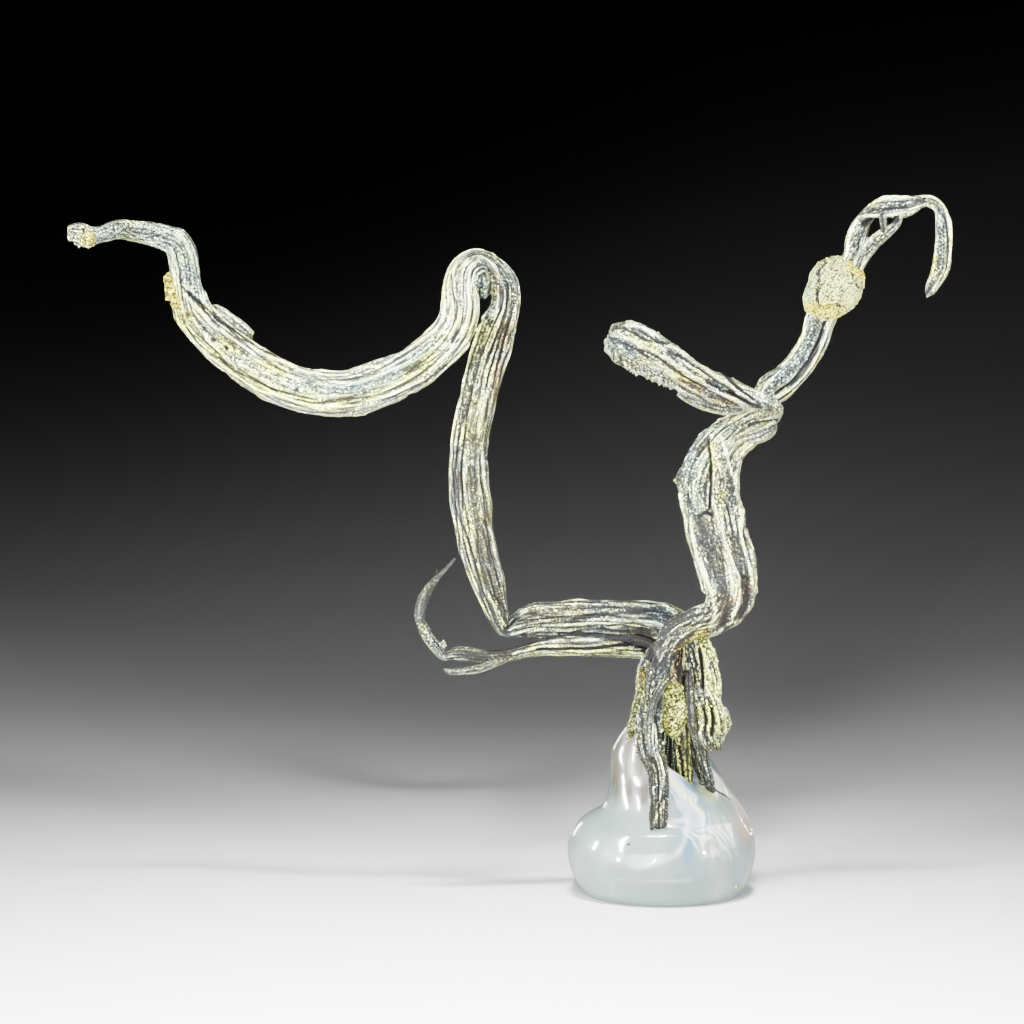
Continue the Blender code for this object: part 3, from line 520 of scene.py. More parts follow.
STUB_MARKS: list[Mark] = [
    Mark(
        ((-2.9, 35.9), (-0.6, 34.8), (1.6, 33.5), (3.6, 32.5), (5.4, 31.6)), 0.9, pale=0.06, grain=0.03,
        worn=0.7,
    ),
    Mark(((-3.0, 34.9), (-0.8, 33.7), (1.0, 32.7), (3.2, 31.5)), 0.8, pale=0.05, grain=0.05, worn=0.6),
    rugged(0.9, (-2.9, 35.9), (-1.5, 35.3), (0.6, 34.2), (1.6, 33.6)),
    rugged(0.8, (-3.2, 35.0), (-1.9, 34.1), (-0.5, 33.2), (0.6, 32.7)),
    Mark(((-3.5, 34.8), (-2.1, 33.6), (-0.6, 32.9), (0.4, 32.4)), 0.5, pale=0.08, grain=0.38, worn=0.4),
    Mark(((-3.4, 36.2), (-2.6, 36.9), (-1.2, 36.4)), 0.4, grain=0.25, worn=0.4),
    Mark(
        ((0.2, 34.7), (1.4, 33.6), (2.4, 32.9), (3.3, 32.3), (4.2, 31.9)), 0.38, 0.1, -0.3, grain=0.12,
        worn=0.8,
    ),
    Mark(((0.9, 32.9), (2.1, 32.25), (3.0, 31.7), (4.1, 31.1)), 0.42, depth=0.1, pale=-0.16, worn=0.9),
    stain(Tint.BROWN, 0.5, (0.9, 32.9), (2.1, 32.25), (3.0, 31.7), (4.1, 31.1)),
    rim_line(
        (-2.8, 36.7), (-1.7, 36.3), (-0.7, 35.75), (0.8, 35.0), (1.6, 34.45), (3.3, 33.4), (4.3, 32.9),
        (6.0, 31.6),
    ),
    hairline(
        (-1.7, 36.1), (-0.6, 35.4), (0.3, 35.15), (1.1, 34.65), (1.9, 34.1), (3.6, 33.0), (4.6, 32.1),
        (5.7, 31.3),
    ),
    rim_line((0.1, 35.1), (0.8, 34.7), (1.4, 34.25), (2.8, 33.2), (4.3, 32.25), (5.5, 31.4)),
    hairline((0.6, 34.6), (1.4, 34.0), (2.3, 33.4), (3.1, 32.8), (3.8, 32.35)),
    rim_line((0.8, 34.3), (1.6, 33.7), (2.4, 33.1), (3.2, 32.5), (3.8, 32.15)),
    Mark(((3.9, 32.1), (4.65, 31.6), (5.15, 31.25), (5.8, 31.05)), 0.18, depth=0.25, pale=-1.8),
    Mark(((2.9, 33.6), (3.6, 33.05), (4.6, 32.15), (5.4, 31.55)), 0.13, depth=0.12, pale=-1.2),
    Mark(((2.6, 32.8), (3.4, 32.3), (4.1, 31.95)), 0.3, depth=0.1, pale=-0.5, grain=0.25),
    rim_line(
        (-3.7, 35.8), (-2.9, 35.8), (-2.2, 35.6), (-1.4, 35.1), (0.1, 34.25), (1.4, 33.4), (2.8, 32.4),
        (4.6, 31.3),
    ),
    hairline(
        (-1.7, 34.95), (-0.7, 34.5), (0.1, 33.95), (1.4, 32.95), (3.0, 32.0), (4.0, 31.4), (4.5, 31.1),
    ),
    rim_line((-0.1, 33.5), (0.5, 33.05), (1.4, 32.3), (2.4, 31.8), (3.3, 31.3), (4.0, 31.0)),
    hairline((0.8, 32.5), (1.8, 31.95), (2.7, 31.4), (3.4, 30.9)),
    hairline((-3.5, 35.35), (-2.8, 35.4), (-2.0, 35.0), (-1.2, 34.45)),
    hairline((-3.3, 36.2), (-2.7, 36.3), (-1.9, 35.95), (-1.1, 35.4)),
    stain(Tint.BLUE, 0.7, (-3.2, 35.5), (-2.2, 34.7)),
    stain(Tint.OLIVE, 0.5, (-2.0, 35.7), (-0.6, 35.0)),
    stain(Tint.OLIVE, 0.5, (0.6, 33.4), (1.2, 32.9)),
]
TENDRIL_MARKS: list[Mark] = [
    stain(Tint.BLUE, 0.9, (6.9, 32.5), (8.4, 33.9), (9.1, 35.4)),
    Mark(
        ((6.6, 32.0), (7.3, 32.5), (8.3, 33.8), (8.95, 35.0), (9.3, 36.1)), 0.95, pale=0.0, grain=0.08,
        worn=0.9,
    ),
    hairline((7.6, 31.9), (8.6, 32.9), (9.4, 34.3), (9.8, 35.6)),
    rim_line((6.2, 32.2), (7.0, 33.0), (7.9, 34.1), (8.6, 35.4), (8.8, 36.4)),
    ridge((7.0, 31.4), (8.2, 32.3), (9.2, 33.5), (9.95, 35.2), (10.3, 36.2)),
    crack((6.9, 31.7), (7.9, 32.4), (8.9, 33.7), (9.6, 35.2), (10.0, 36.4)),
]
HOOK_MARKS: list[Mark] = [
    stain(Tint.GOLD, 0.5, (16.75, 40.0), (16.6, 39.3)),
    rim_line((17.7, 42.6), (17.75, 40.7), (17.5, 39.3), (16.7, 38.1)),
    Mark(((12.3, 42.3), (12.7, 42.5), (13.3, 42.4)), 0.45, depth=0.2, pale=-0.9),
    Mark(((11.9, 42.2), (12.8, 43.1), (14.0, 43.4), (15.6, 43.5)), 0.6, grain=0.03, worn=0.7),
    hairline((12.0, 42.6), (12.9, 43.3), (14.0, 43.5), (15.4, 43.6)),
    stain(Tint.BLUE, 0.6, (17.1, 41.8), (17.0, 39.6)),
    Mark(((17.0, 42.4), (17.15, 41.0), (17.0, 39.6), (16.7, 38.9)), 0.4, pale=-0.12, grain=0.06, worn=0.8),
]
HOOK_STRAND_MARKS: list[Mark] = [
    Mark(((12.6, 42.2), (13.2, 42.35), (14.2, 42.6)), 0.4, depth=0.1, pale=-0.9),
    rugged(0.6, (12.3, 40.6), (13.6, 41.8)),
]
HOOK_PLATE_MARKS: list[Mark] = [
    ridge((12.1, 42.8), (12.8, 42.82), (13.6, 42.82), (14.4, 42.86), (15.1, 43.12), (15.8, 43.45)),
    ridge((12.6, 43.4), (13.3, 43.85), (14.1, 44.0), (15.0, 43.95)),
    Mark(((12.7, 43.1), (13.6, 43.35), (14.6, 43.4)), 0.5, depth=0.05, pale=-0.3, grain=0.1),
]
NODULE_MARKS: list[Mark] = [
    Mark(((11.6, 39.9), (12.3, 39.1)), 0.75, tint=Tint.GOLD, strength=1.4),
    Mark(((8.9, 37.0), (10.2, 36.9)), 0.85, tint=Tint.GOLD, strength=1.4),
    Mark(((10.6, 36.6), (10.9, 37.0)), 0.5, tint=Tint.GOLD, strength=1.0),
    Mark(((9.3, 39.5), (8.8, 38.6), (8.75, 37.5)), 0.55, depth=0.1, tint=Tint.BLUE, pale=-0.3, worn=1.0),
    Mark(((9.9, 39.95), (9.45, 39.4), (9.3, 38.3), (9.45, 37.2)), 0.16, depth=0.15, pale=-0.9),
    Mark(((11.5, 39.4), (11.9, 38.4)), 0.14, depth=0.1, pale=-0.6),
    Mark(((9.7, 37.2), (10.6, 37.3), (11.2, 37.0)), 0.14, depth=0.1, pale=-0.45),
    Mark(((10.2, 39.0), (10.9, 37.4)), 2.2, tint=Tint.OLIVE, strength=0.5),
]
ROOT_LEFT_MARKS: list[Mark] = [
    stain(Tint.OLIVE, 0.75, (-1.5, 14.4), (-1.8, 13.2), (-2.1, 12.2), (-2.4, 11.2), (-2.8, 10.2)),
    crack((-1.1, 13.8), (-1.4, 12.6), (-1.5, 11.2)),
]
CURL_MARKS: list[Mark] = [
    stain(Tint.OLIVE, 1.2, (2.6, 12.2), (3.2, 10.4)),
    ridge((2.1, 12.3), (2.3, 11.4), (2.2, 10.5), (2.5, 9.8)),
    ridge((2.6, 12.5), (2.8, 11.7), (2.7, 10.8), (2.9, 10.0)),
    ridge((3.1, 12.0), (3.3, 11.2), (3.2, 10.4), (3.3, 9.8)),
    crack((2.35, 12.2), (2.55, 11.4), (2.45, 10.5)),
    crack((2.9, 12.2), (3.05, 11.3), (2.95, 10.4)),
]
OLIVE_MARKS: list[Mark] = [
    Mark(((-1.45, 14.4),), 0.5, tint=Tint.GOLD, strength=1.5),
    Mark(((-1.4, 14.5), (-1.9, 12.5), (-2.6, 10.0)), 1.5, tint=Tint.OLIVE, strength=2.0, grain=0.1),
]
GRAIN_MARKS: list[Mark] = [
    stain(Tint.OLIVE, 2.5, (0.6, 13.6), (0.6, 10.4)),
    *map(pit, ((0.75, 12.6), (0.4, 11.5), (0.9, 11.0), (0.3, 12.9))),
]
ROOT_FRONT_MARKS: list[Mark] = [
    # Painted shadow in the deep gap where the run, the spur and the roots meet.
    Mark(((-1.4, 16.0), (-1.0, 15.4)), 0.6, depth=0.2, pale=-1.2),
    ridge((-1.0, 14.5), (-1.3, 13.1), (-0.9, 11.5), (-0.4, 10.0), (-0.1, 8.1), (-0.4, 6.5)),
    crack((-0.6, 14.8), (-0.8, 13.1), (-0.6, 11.5), (-0.1, 10.2)),
    ridge((-0.1, 6.5), (-0.6, 5.6), (-0.9, 4.9)),
]
ROOT_MATRIX_MARKS: list[Mark] = [
    stain(Tint.OLIVE, 0.9, (1.2, 9.8), (1.5, 6.8)),
    stain(Tint.BROWN, 1.0, (0.8, 15.8), (0.8, 14.1)),
    crack((0.9, 9.6), (1.2, 7.4)),
]
ROOT_RIGHT_MARKS: list[Mark] = [
    stain(Tint.OLIVE, 0.9, (2.3, 16.8), (2.8, 15.4), (3.0, 13.2)),
    ridge((2.6, 16.3), (3.1, 15.1), (3.3, 13.8), (3.3, 12.9)),
    crack((2.2, 15.7), (2.4, 13.8), (2.2, 12.5)),
]


def catmull_rom(rows: Array, steps: int) -> Array:
    """Rounds a line of rows.

    Args:
        rows: the rows to pass through.
        steps: how many new rows stand in for each old one.

    Returns:
        The rows on a smooth curve through the given ones.
    """
    before = np.vstack([rows[:1], rows[:-2]])
    start, end = rows[:-1], rows[1:]
    after = np.vstack([rows[2:], rows[-1:]])
    slope_start, slope_end = (end - before) / 2, (after - start) / 2
    rise = end - start
    share = (np.arange(steps) / steps)[None, :, None]
    cubic = (slope_start + slope_end - 2 * rise)[:, None]
    square = (3 * rise - 2 * slope_start - slope_end)[:, None]
    curve = start[:, None] + share * (slope_start[:, None] + share * (square + share * cubic))
    return np.vstack([curve.reshape(-1, rows.shape[1]), rows[-1:]])


def unit(vectors: Array) -> Array:
    """The vectors at length 1."""
    return vectors / np.maximum(np.linalg.norm(vectors, axis=-1, keepdims=True), 1e-12)


def walked(places: Array) -> Array:
    """How far along their line the places lie."""
    return np.concatenate([[0.0], np.cumsum(np.linalg.norm(np.diff(places, axis=0), axis=1))])


def per(along: float, across: float) -> Array:
    """Scales for (along, across, out) that make noise this long and this wide."""
    return np.array([1 / along, 1 / across, 1 / across])


def deselect_all() -> None:
    """Leaves nothing selected, so that an operator acts on the new piece alone."""
    bpy.ops.object.select_all(action="DESELECT")


def set_values(mesh: bpy.types.Mesh, name: str, values: Array) -> None:
    """Stores one number or one vector for each vertex.

    Args:
        mesh: the mesh.
        name: the attribute's name.
        values: one row for each vertex.
    """
    if values.ndim == 2:
        attribute = mesh.attributes.new(name, "FLOAT_VECTOR", "POINT")
        attribute.data.foreach_set("vector", values.astype(np.float32).ravel())
        return
    attribute = mesh.attributes.new(name, "FLOAT", "POINT")
    attribute.data.foreach_set("value", values.astype(np.float32))


def close_seams() -> None:
    """Merges the seam and the poles of the selected piece, turns its faces outwards and smooths it."""
    bpy.ops.object.mode_set(mode="EDIT")
    bpy.ops.mesh.select_all(action="SELECT")
    bpy.ops.mesh.remove_doubles(threshold=MERGE)
    bpy.ops.mesh.normals_make_consistent(inside=False)
    bpy.ops.object.mode_set(mode="OBJECT")
    bpy.ops.object.shade_smooth()


def rolled_sheet(name: str, places: Array, values: dict[str, Array]) -> bpy.types.Object:
    """A grid laid over the given places, its seam and its end rows merged into a closed form.

    Args:
        name: the piece's name.
        places: rows by columns of (x, y, z) in millimetres.
        values: attributes, each with rows by columns of numbers or vectors.

    Returns:
        The piece.
    """
    rows, columns = places.shape[:2]
    deselect_all()
    bpy.ops.mesh.primitive_grid_add(x_subdivisions=columns - 1, y_subdivisions=rows - 1, size=1.0)
    piece = bpy.context.object
    piece.name = name
    piece.data.name = name
    piece.data.vertices.foreach_set("co", (places * MM).astype(np.float32).ravel())
    for key, value in values.items():
        set_values(piece.data, key, value.reshape(rows * columns, -1).squeeze())
    piece.data.update()
    close_seams()
    return piece


def keep_in_box(places: Array) -> Array:
    """The places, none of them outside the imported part's box."""
    low, high = (np.array(corner) / MM for corner in CAD_BOX)
    return np.clip(places, low, high)


def finish_piece(piece: bpy.types.Object, material: Material, node: str) -> None:
    """Dresses a piece and fixes it to the part.

    Args:
        piece: the piece.
        material: what it is made of.
        node: the solid that it stands for, if any.
    """
    piece.data.materials.clear()
    piece.data.materials.append(material)
    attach(piece, "root")
    if node:
        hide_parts(node)
    LOG.info("%s: %d faces", piece.name, len(piece.data.polygons))


@dataclass
class Wire:
    """A bundle of parallel fibres that bends along a route."""

    name: str
    route: list[Row]
    seed: int
    pitch: float = 0.62  # from one broad band to the next
    hair: float = 0.2  # from one fine fibre to the next
    rounding: float = 0.6  # how round a band is, from flat to a full bead
    rim: float = 0.1  # height of the thin ridges between the bands
    rim_share: float = 0.35  # how far ridges outweigh cracks, from -1 to 1
    rib: float = 0.3  # from one narrow rib to the next
    seam: float = 0.06  # depth of the dark seams between two bands
    wavy: float = 0.06  # by how much its outline wanders in and out
    ridge: float = 0.09  # height of the ridges that wander along the wire
    crack: float = 0.13  # depth of the cracks that wander along it
    grain: float = 0.06  # height of the crystal grains
    grain_size: float = 0.17  # from one grain to the next
    crumble: float = 0.3  # how much of the wire is grains, from -1 to 1
    gutters: float = 0.13  # depth of the broad hollows
    hollow: float = 0.0  # depth of the channel along its faces, between two bright rims
    ragged: float = 0.25  # by how much the fibres end unevenly
    spacing: float = 0.14  # from one ring of points to the next
    column: float = 0.055  # from one point of a ring to the next
    squareness: float = 2.6  # of a section: an oval at 2, and squarer above
    pale: tuple[float, ...] = (0.0, 0.0)  # how much brighter than other silver, from start to end
    marks: list[Mark] = field(default_factory=list)
    node: str = ""  # the solid that it stands for, if any
    slot: Slot = Slot.SILVER

    def stations(self) -> tuple[Array, Array]:
        """Spaces the route evenly.

        Returns:
            The distance of each station from the start, and its row.
        """
        rows = [row if len(row) > ROLL else (*row, 0.0) for row in self.route]
        fine = catmull_rom(np.array(rows, float), ROUTE_STEPS)
        reached = walked(fine[:, :3])
        count = max(8, math.ceil(reached[-1] / self.spacing) + 1)
        at = np.linspace(0, reached[-1], count)
        return at, np.stack([np.interp(at, reached, column) for column in fine.T], axis=1)

    def frames(self, rows: Array) -> tuple[Array, Array, Array]:
        """Turns the wire's section at each row.

        Args:
            rows: the route's rows.

        Returns:
            The directions along, across and out of the wire.
        """
        along = unit(np.gradient(rows[:, :3], axis=0))
        out = unit(SHOW_SIDE - along * (along @ SHOW_SIDE)[:, None])
        roll = np.radians(rows[:, ROLL])[:, None]
        out = out * np.cos(roll) + np.cross(along, out) * np.sin(roll)
        return along, np.cross(along, out), out

    def outline(self, rows: Array, columns: int) -> tuple[Array, Array, Array]:
        """Draws the oval of each section with evenly spaced points.

        Args:
            rows: the route's rows.
            columns: how many points there are round a section.

        Returns:
            The points as (across, out), the outward directions, and the length round each section.
        """
        turn = np.linspace(0, 2 * math.pi, OVAL_POINTS)
        shape = self.oval(turn)
        share = np.linspace(0, 1, columns + 1)
        points = np.empty((len(rows), columns + 1, 2))
        around = np.empty(len(rows))
        for i, row in enumerate(rows):
            half = (row[WIDTH] / 2, row[DEPTH] / 2)
            reached = walked(shape * half)
            around[i] = reached[-1]
            points[i] = self.oval(np.interp(share * reached[-1], reached, turn)) * half
        closed = points[:, :-1]
        side = np.roll(closed, -1, axis=1) - np.roll(closed, 1, axis=1)
        outward = unit(np.stack([side[..., 1], -side[..., 0]], axis=-1))
        return points, np.concatenate([outward, outward[:, :1]], axis=1), around

    def oval(self, turn: Array) -> Array:
        """A section's outline as (across, out) at these angles, with a half width and half depth of 1."""
        rise = np.sqrt(np.maximum(0.0, 1 - np.abs(np.cos(turn)) ** self.squareness))
        return np.stack([np.cos(turn), np.where(np.sin(turn) >= 0, rise, -rise)], axis=1)

    def bands(
        self, at: Array, share: Array, around: Array, pitch: float, seed: int
    ) -> tuple[Array, Array, Array]:
        """Lays bands side by side round the wire, which sway, widen and squeeze each other out.

        Args:
            at: distance of each station from the start.
            share: place of each column round the section, from 0 to 1.
            around: length round each section.
            pitch: from one band to the next.
            seed: picks their places.

        Returns:
            The bands' rounded height, the distance from the nearest edge between two, and a tone for each.
        """
        count = max(5, round(float(np.percentile(around, 80)) / pitch))
        noise = Noise(seed)
        seats = np.random.default_rng(seed).uniform(-0.3, 0.3, count)
        best = np.full((len(at), len(share)), -1e9)
        second, tone = best.copy(), np.zeros_like(best)
        thin = np.minimum(1.0, around / (0.75 * count * pitch))
        bend = 0.45 * pitch  # radius to which a band is rounded
        waves = ((9 * pitch, 0.5), (2.5 * pitch, 2.5), (6 * pitch, 9.5), (4.0, 4.2))  # length and shift
        for k in range(count):
            row = np.full_like(at, 7.31 * k)
            sway, wobble, lift, shade = (
                noise.smooth(np.stack([at / length, row, at * 0 + shift], axis=1)) for length, shift in waves
            )
            seat = (k + seats[k] + 0.8 * sway + 0.14 * wobble) / count
            away = (share[None, :] - seat[:, None] + 0.5) % 1.0 - 0.5
            away = away * around[:, None]
            rise = (0.16 * pitch * lift * thin)[:, None] - away**2 / (2 * bend)
            tone = np.where(rise > best, shade[:, None], tone)
            second = np.maximum(second, np.minimum(rise, best))
            best = np.maximum(best, rise)
        return np.maximum(best, -0.5 * pitch) + 0.1 * pitch, (best - second) * 0.45, tone

    def relief(self, at: Array, solid: Array, around: Array) -> tuple[Array, Array, Array, Array]:
        """Heights of all the fine forms together.

        Args:
            at: distance of each station from the start.
            solid: (along, across, out) of each place in millimetres.
            around: length round each section.

        Returns:
            The heights, the bands' tone, the share of grains, and the seams, below 0 in a seam and above 0 on
            its lip.
        """
        share = np.linspace(0, 1, solid.shape[1])
        noise = Noise(self.seed + 50)
        height, edge, tone = self.bands(at, share, around, self.pitch, self.seed)
        height = self.rounding * height
        ridged = np.clip(noise.smooth(solid * per(4.0, 0.7)) * 1.8 + self.rim_share, -1, 1)
        height = height + self.rim * ridged * np.exp(-((edge / RIM_WIDTH) ** 2))
        ribs, gap, _ = self.bands(at, share, around, self.rib, self.seed + 3)
        hairs, _, _ = self.bands(at, share, around, self.hair, self.seed + 7)
        deep, lip = self.seams(solid, edge, SEAM_WIDTH, 0.0)
        slight, thin_lip = self.seams(solid, gap, RIB_SEAM_WIDTH, 11.0)
        seams = 0.6 * (lip + 0.6 * thin_lip) - deep - 0.6 * slight
        height = height + 0.4 * ribs + self.seam * seams
        height = height + self.wavy * noise.smooth(solid * per(1.6, 1.8) + 13.0)
        sharp = np.clip(noise.smooth(solid * per(3.0, 0.5) + 5.0) + 0.6, 0.1, 1)
        height = height + 0.55 * sharp * hairs
        height = height + self.ridge * self.lines(solid, 17.0) - self.crack * self.lines(solid, 3.0)
        broad = noise.smooth(solid * per(7.0, 0.75) + 9.0)
        height = height + self.gutters * np.minimum(broad, 0.3)
        crumbly = np.clip(noise.smooth(solid * per(2.2, 0.9)) * 1.5 + self.crumble, 0, 1)
        size = self.grain_size
        lumps = noise.grains(solid * (0.85 / size, 1 / size, 1 / size))
        fine = noise.smooth(solid * per(0.25, 0.125))
        height = height + self.grain * (lumps - 0.6) * (0.2 + crumbly) + 0.02 * fine * (0.4 + crumbly)
        room = np.minimum(1.0, around / 5.0)[:, None]
        return height * room, tone, crumbly, np.clip(seams, -1, 1)

    def seams(self, solid: Array, gap: Array, width: float, shift: float) -> tuple[Array, Array]:
        """Draws a dark line where two bands meet, with a bright lip beside it.

        Args:
            solid: (along, across, out) of each place in millimetres.
            gap: distance of each place from where two bands meet.
            width: half the width of a line.
            shift: picks where the lines fade.

        Returns:
            The share of dark line and the share of lip.
        """
        noise = Noise(self.seed + 70)
        present = np.clip(noise.smooth(solid * per(5.0, 0.8) + shift) * 2.2 + 0.7, 0.1, 1)
        lit = np.clip(noise.smooth(solid * per(3.0, 0.6) + shift + 4.0) * 2.2 + 0.4, 0, 1)
        return present * np.exp(-((gap / width) ** 2)), lit * np.exp(-((gap / width - 2.2) ** 2))

    def lines(self, solid: Array, shift: float) -> Array:
        """Thin lines that wander along the wire, part, meet and fade.

        Args:
            solid: (along, across, out) of each place in millimetres.
            shift: picks one set of lines.

        Returns:
            1 on a line, falling to 0 beside it.
        """
        noise = Noise(self.seed + 60)
        level = noise.smooth(solid * per(5.0, 0.8) + shift)
        present = np.clip(noise.smooth(solid * (0.3, 0.9, 0.9) + shift + 7.0) * 2.5 + 0.9, 0, 1)
        return present * np.exp(-((level / LINE_WIDTH) ** 2))

    def surface(self) -> tuple[Array, dict[str, Array]]:
        """Works out where each point of the wire lies.

        Returns:
            Rows by columns of places in millimetres, and the attributes.
        """
        at, rows = self.stations()
        along, across, out = self.frames(rows)
        _, _, around = self.outline(rows, 16)
        columns = math.ceil(np.percentile(around, 90) / self.column)
        points, outward, around = self.outline(rows, columns)
        strand = np.concatenate([np.broadcast_to(at[:, None, None], points.shape[:2] + (1,)), points], axis=2)
        height, tone, crumbly, seams = self.relief(at, strand, around)
        facing = points[..., 1] / (rows[:, DEPTH] / 2)[:, None]

        def place(flat: Array) -> Array:
            """The (across, out) points in the part's own space."""
            return rows[:, None, :3] + flat[..., :1] * across[:, None] + flat[..., 1:] * out[:, None]

        bare = place(points)
        tints = {tint: np.zeros(height.shape) for tint in Tint}
        pale = np.interp(at / at[-1], np.linspace(0, 1, len(self.pale)), self.pale)
        side = np.abs(points[..., 0]) / (rows[:, WIDTH] / 2)[:, None]
        middle = np.clip(1 - (side / 0.75) ** 2, 0, 1) * np.clip(np.abs(facing) * 2, 0, 1)
        height = height - self.hollow * middle
        rims = np.exp(-(((side - 0.88) / 0.1) ** 2)) - middle
        pale = pale[:, None] + 1.6 * self.hollow * rims
        crystals = Noise(self.seed + 80).grains(strand / CRYSTAL)
        for mark in self.marks:
            share = mark.share(bare, facing)
            height, seams = height * (1 - mark.worn * share), seams * (1 - mark.worn * share)
            height = height - mark.depth * share + mark.grain * share * (crystals - 0.6)
            crumbly = np.maximum(crumbly, share * (mark.grain > 0))
            pale = pale + mark.pale * share
            if mark.tint:
                tints[mark.tint] = np.maximum(tints[mark.tint], share * mark.strength)
        places = place(points + outward * height[..., None])
        values = {
            # Painted shade in the grooves and a painted highlight on the ridges, through the colour.
            "cavity_shade": self.cavity_shade(height),
            "tone": tone,
            "seams": seams,
            "crumbly": crumbly,
            "pale": pale,
            "strand": strand,
            **{tint.value: mask for tint, mask in tints.items()},
        }
        return self.with_ends(places, values, rows, along, points)

    def cavity_shade(self, height: Array) -> Array:
        """How far each point stands above or below its neighbours: painted shade in grooves, painted highlight
        on ridges.

        Args:
            height: rows by columns of heights.

        Returns:
            0 in a groove, 1 on a ridge.
        """
        ring = height[:, :-1]
        around = sum(np.roll(ring, k, axis=1) for k in range(-4, 5)) / 9
        soft = sum(around[np.clip(np.arange(len(ring)) + k, 0, len(ring) - 1)] for k in range(-3, 4)) / 7
        wide = sum(np.roll(soft, k, axis=1) for k in range(-12, 13, 4)) / 7
        share = np.clip(0.5 + (ring - soft) / 0.13 + (soft - wide) / 0.6, 0, 1)
        return np.concatenate([share, share[:, :1]], axis=1)

    def with_ends(
        self, places: Array, values: dict[str, Array], rows: Array, along: Array, points: Array
    ) -> tuple[Array, dict[str, Array]]:
        """Adds a low, uneven dome at each end and lets the fibres end raggedly.

        Args:
            places: rows by columns of (x, y, z) in millimetres.
            values: the attributes, each with rows by columns.
            rows: the route's rows.
            along: the wire's direction at each row.
            points: rows by columns of (across, out).

        Returns:
            The places and the attributes, with the rows of the domes.
        """
        noise = Noise(self.seed + 90)
        at = values["strand"][:, 0, 0]
        for centre, near in ((at[0], -1), (at[-1], 1)):
            close = np.clip(1 - np.abs(at - centre) / FRAY_REACH, 0, 1)[:, None]
            uneven = noise.smooth(values["strand"] * (0.0, 3.5, 3.5) + (near * 3.3, 0, 0))
            places = places + (self.ragged * near * close * uneven)[..., None] * along[:, None]
        for first in (True, False):
            end = 0 if first else -1
            direction = -along[end] if first else along[end]
            centre = rows[end, :3]
            edge = places[end]
            lift = (edge - centre) @ direction
            flat = edge - lift[:, None] * direction - centre
            new_rows = []
            level = np.full((len(edge), 1), 2.5)
            for step in range(1, DOME_STEPS + 1):
                share = step / DOME_STEPS
                last = step == DOME_STEPS
                shrink = 0.0 if last else math.cos(share * math.pi / 2) ** 0.8
                dome = 0.16 * rows[end, DEPTH] * math.sin(share * math.pi / 2)
                rough = noise.smooth(np.concatenate([points[end] * shrink * 4.0, level], axis=1))
                bumps = 0.5 * self.ragged * (rough - rough.mean() * share)
                rise = lift * shrink + dome + bumps * min(1.0, 2.0 * share) * (0 if last else 1)
                new_rows.append(centre + flat * shrink + rise[:, None] * direction)
            made = np.array(new_rows[::-1] if first else new_rows)
            places = np.concatenate([made, places] if first else [places, made])
            for key, value in values.items():
                extra = np.repeat(value[end][None], DOME_STEPS, axis=0)
                values[key] = np.concatenate([extra, value] if first else [value, extra])
        return keep_in_box(places), values

    def build(self) -> bpy.types.Object:
        """Makes the wire's mesh."""
        return rolled_sheet(self.name, *self.surface())


@dataclass
class RootWire(Wire):
    """A wire with the coarse grains and broad hollows of the roots."""

    grain_size: float = 0.24
    gutters: float = 0.16
    spacing: float = 0.09
    column: float = 0.05


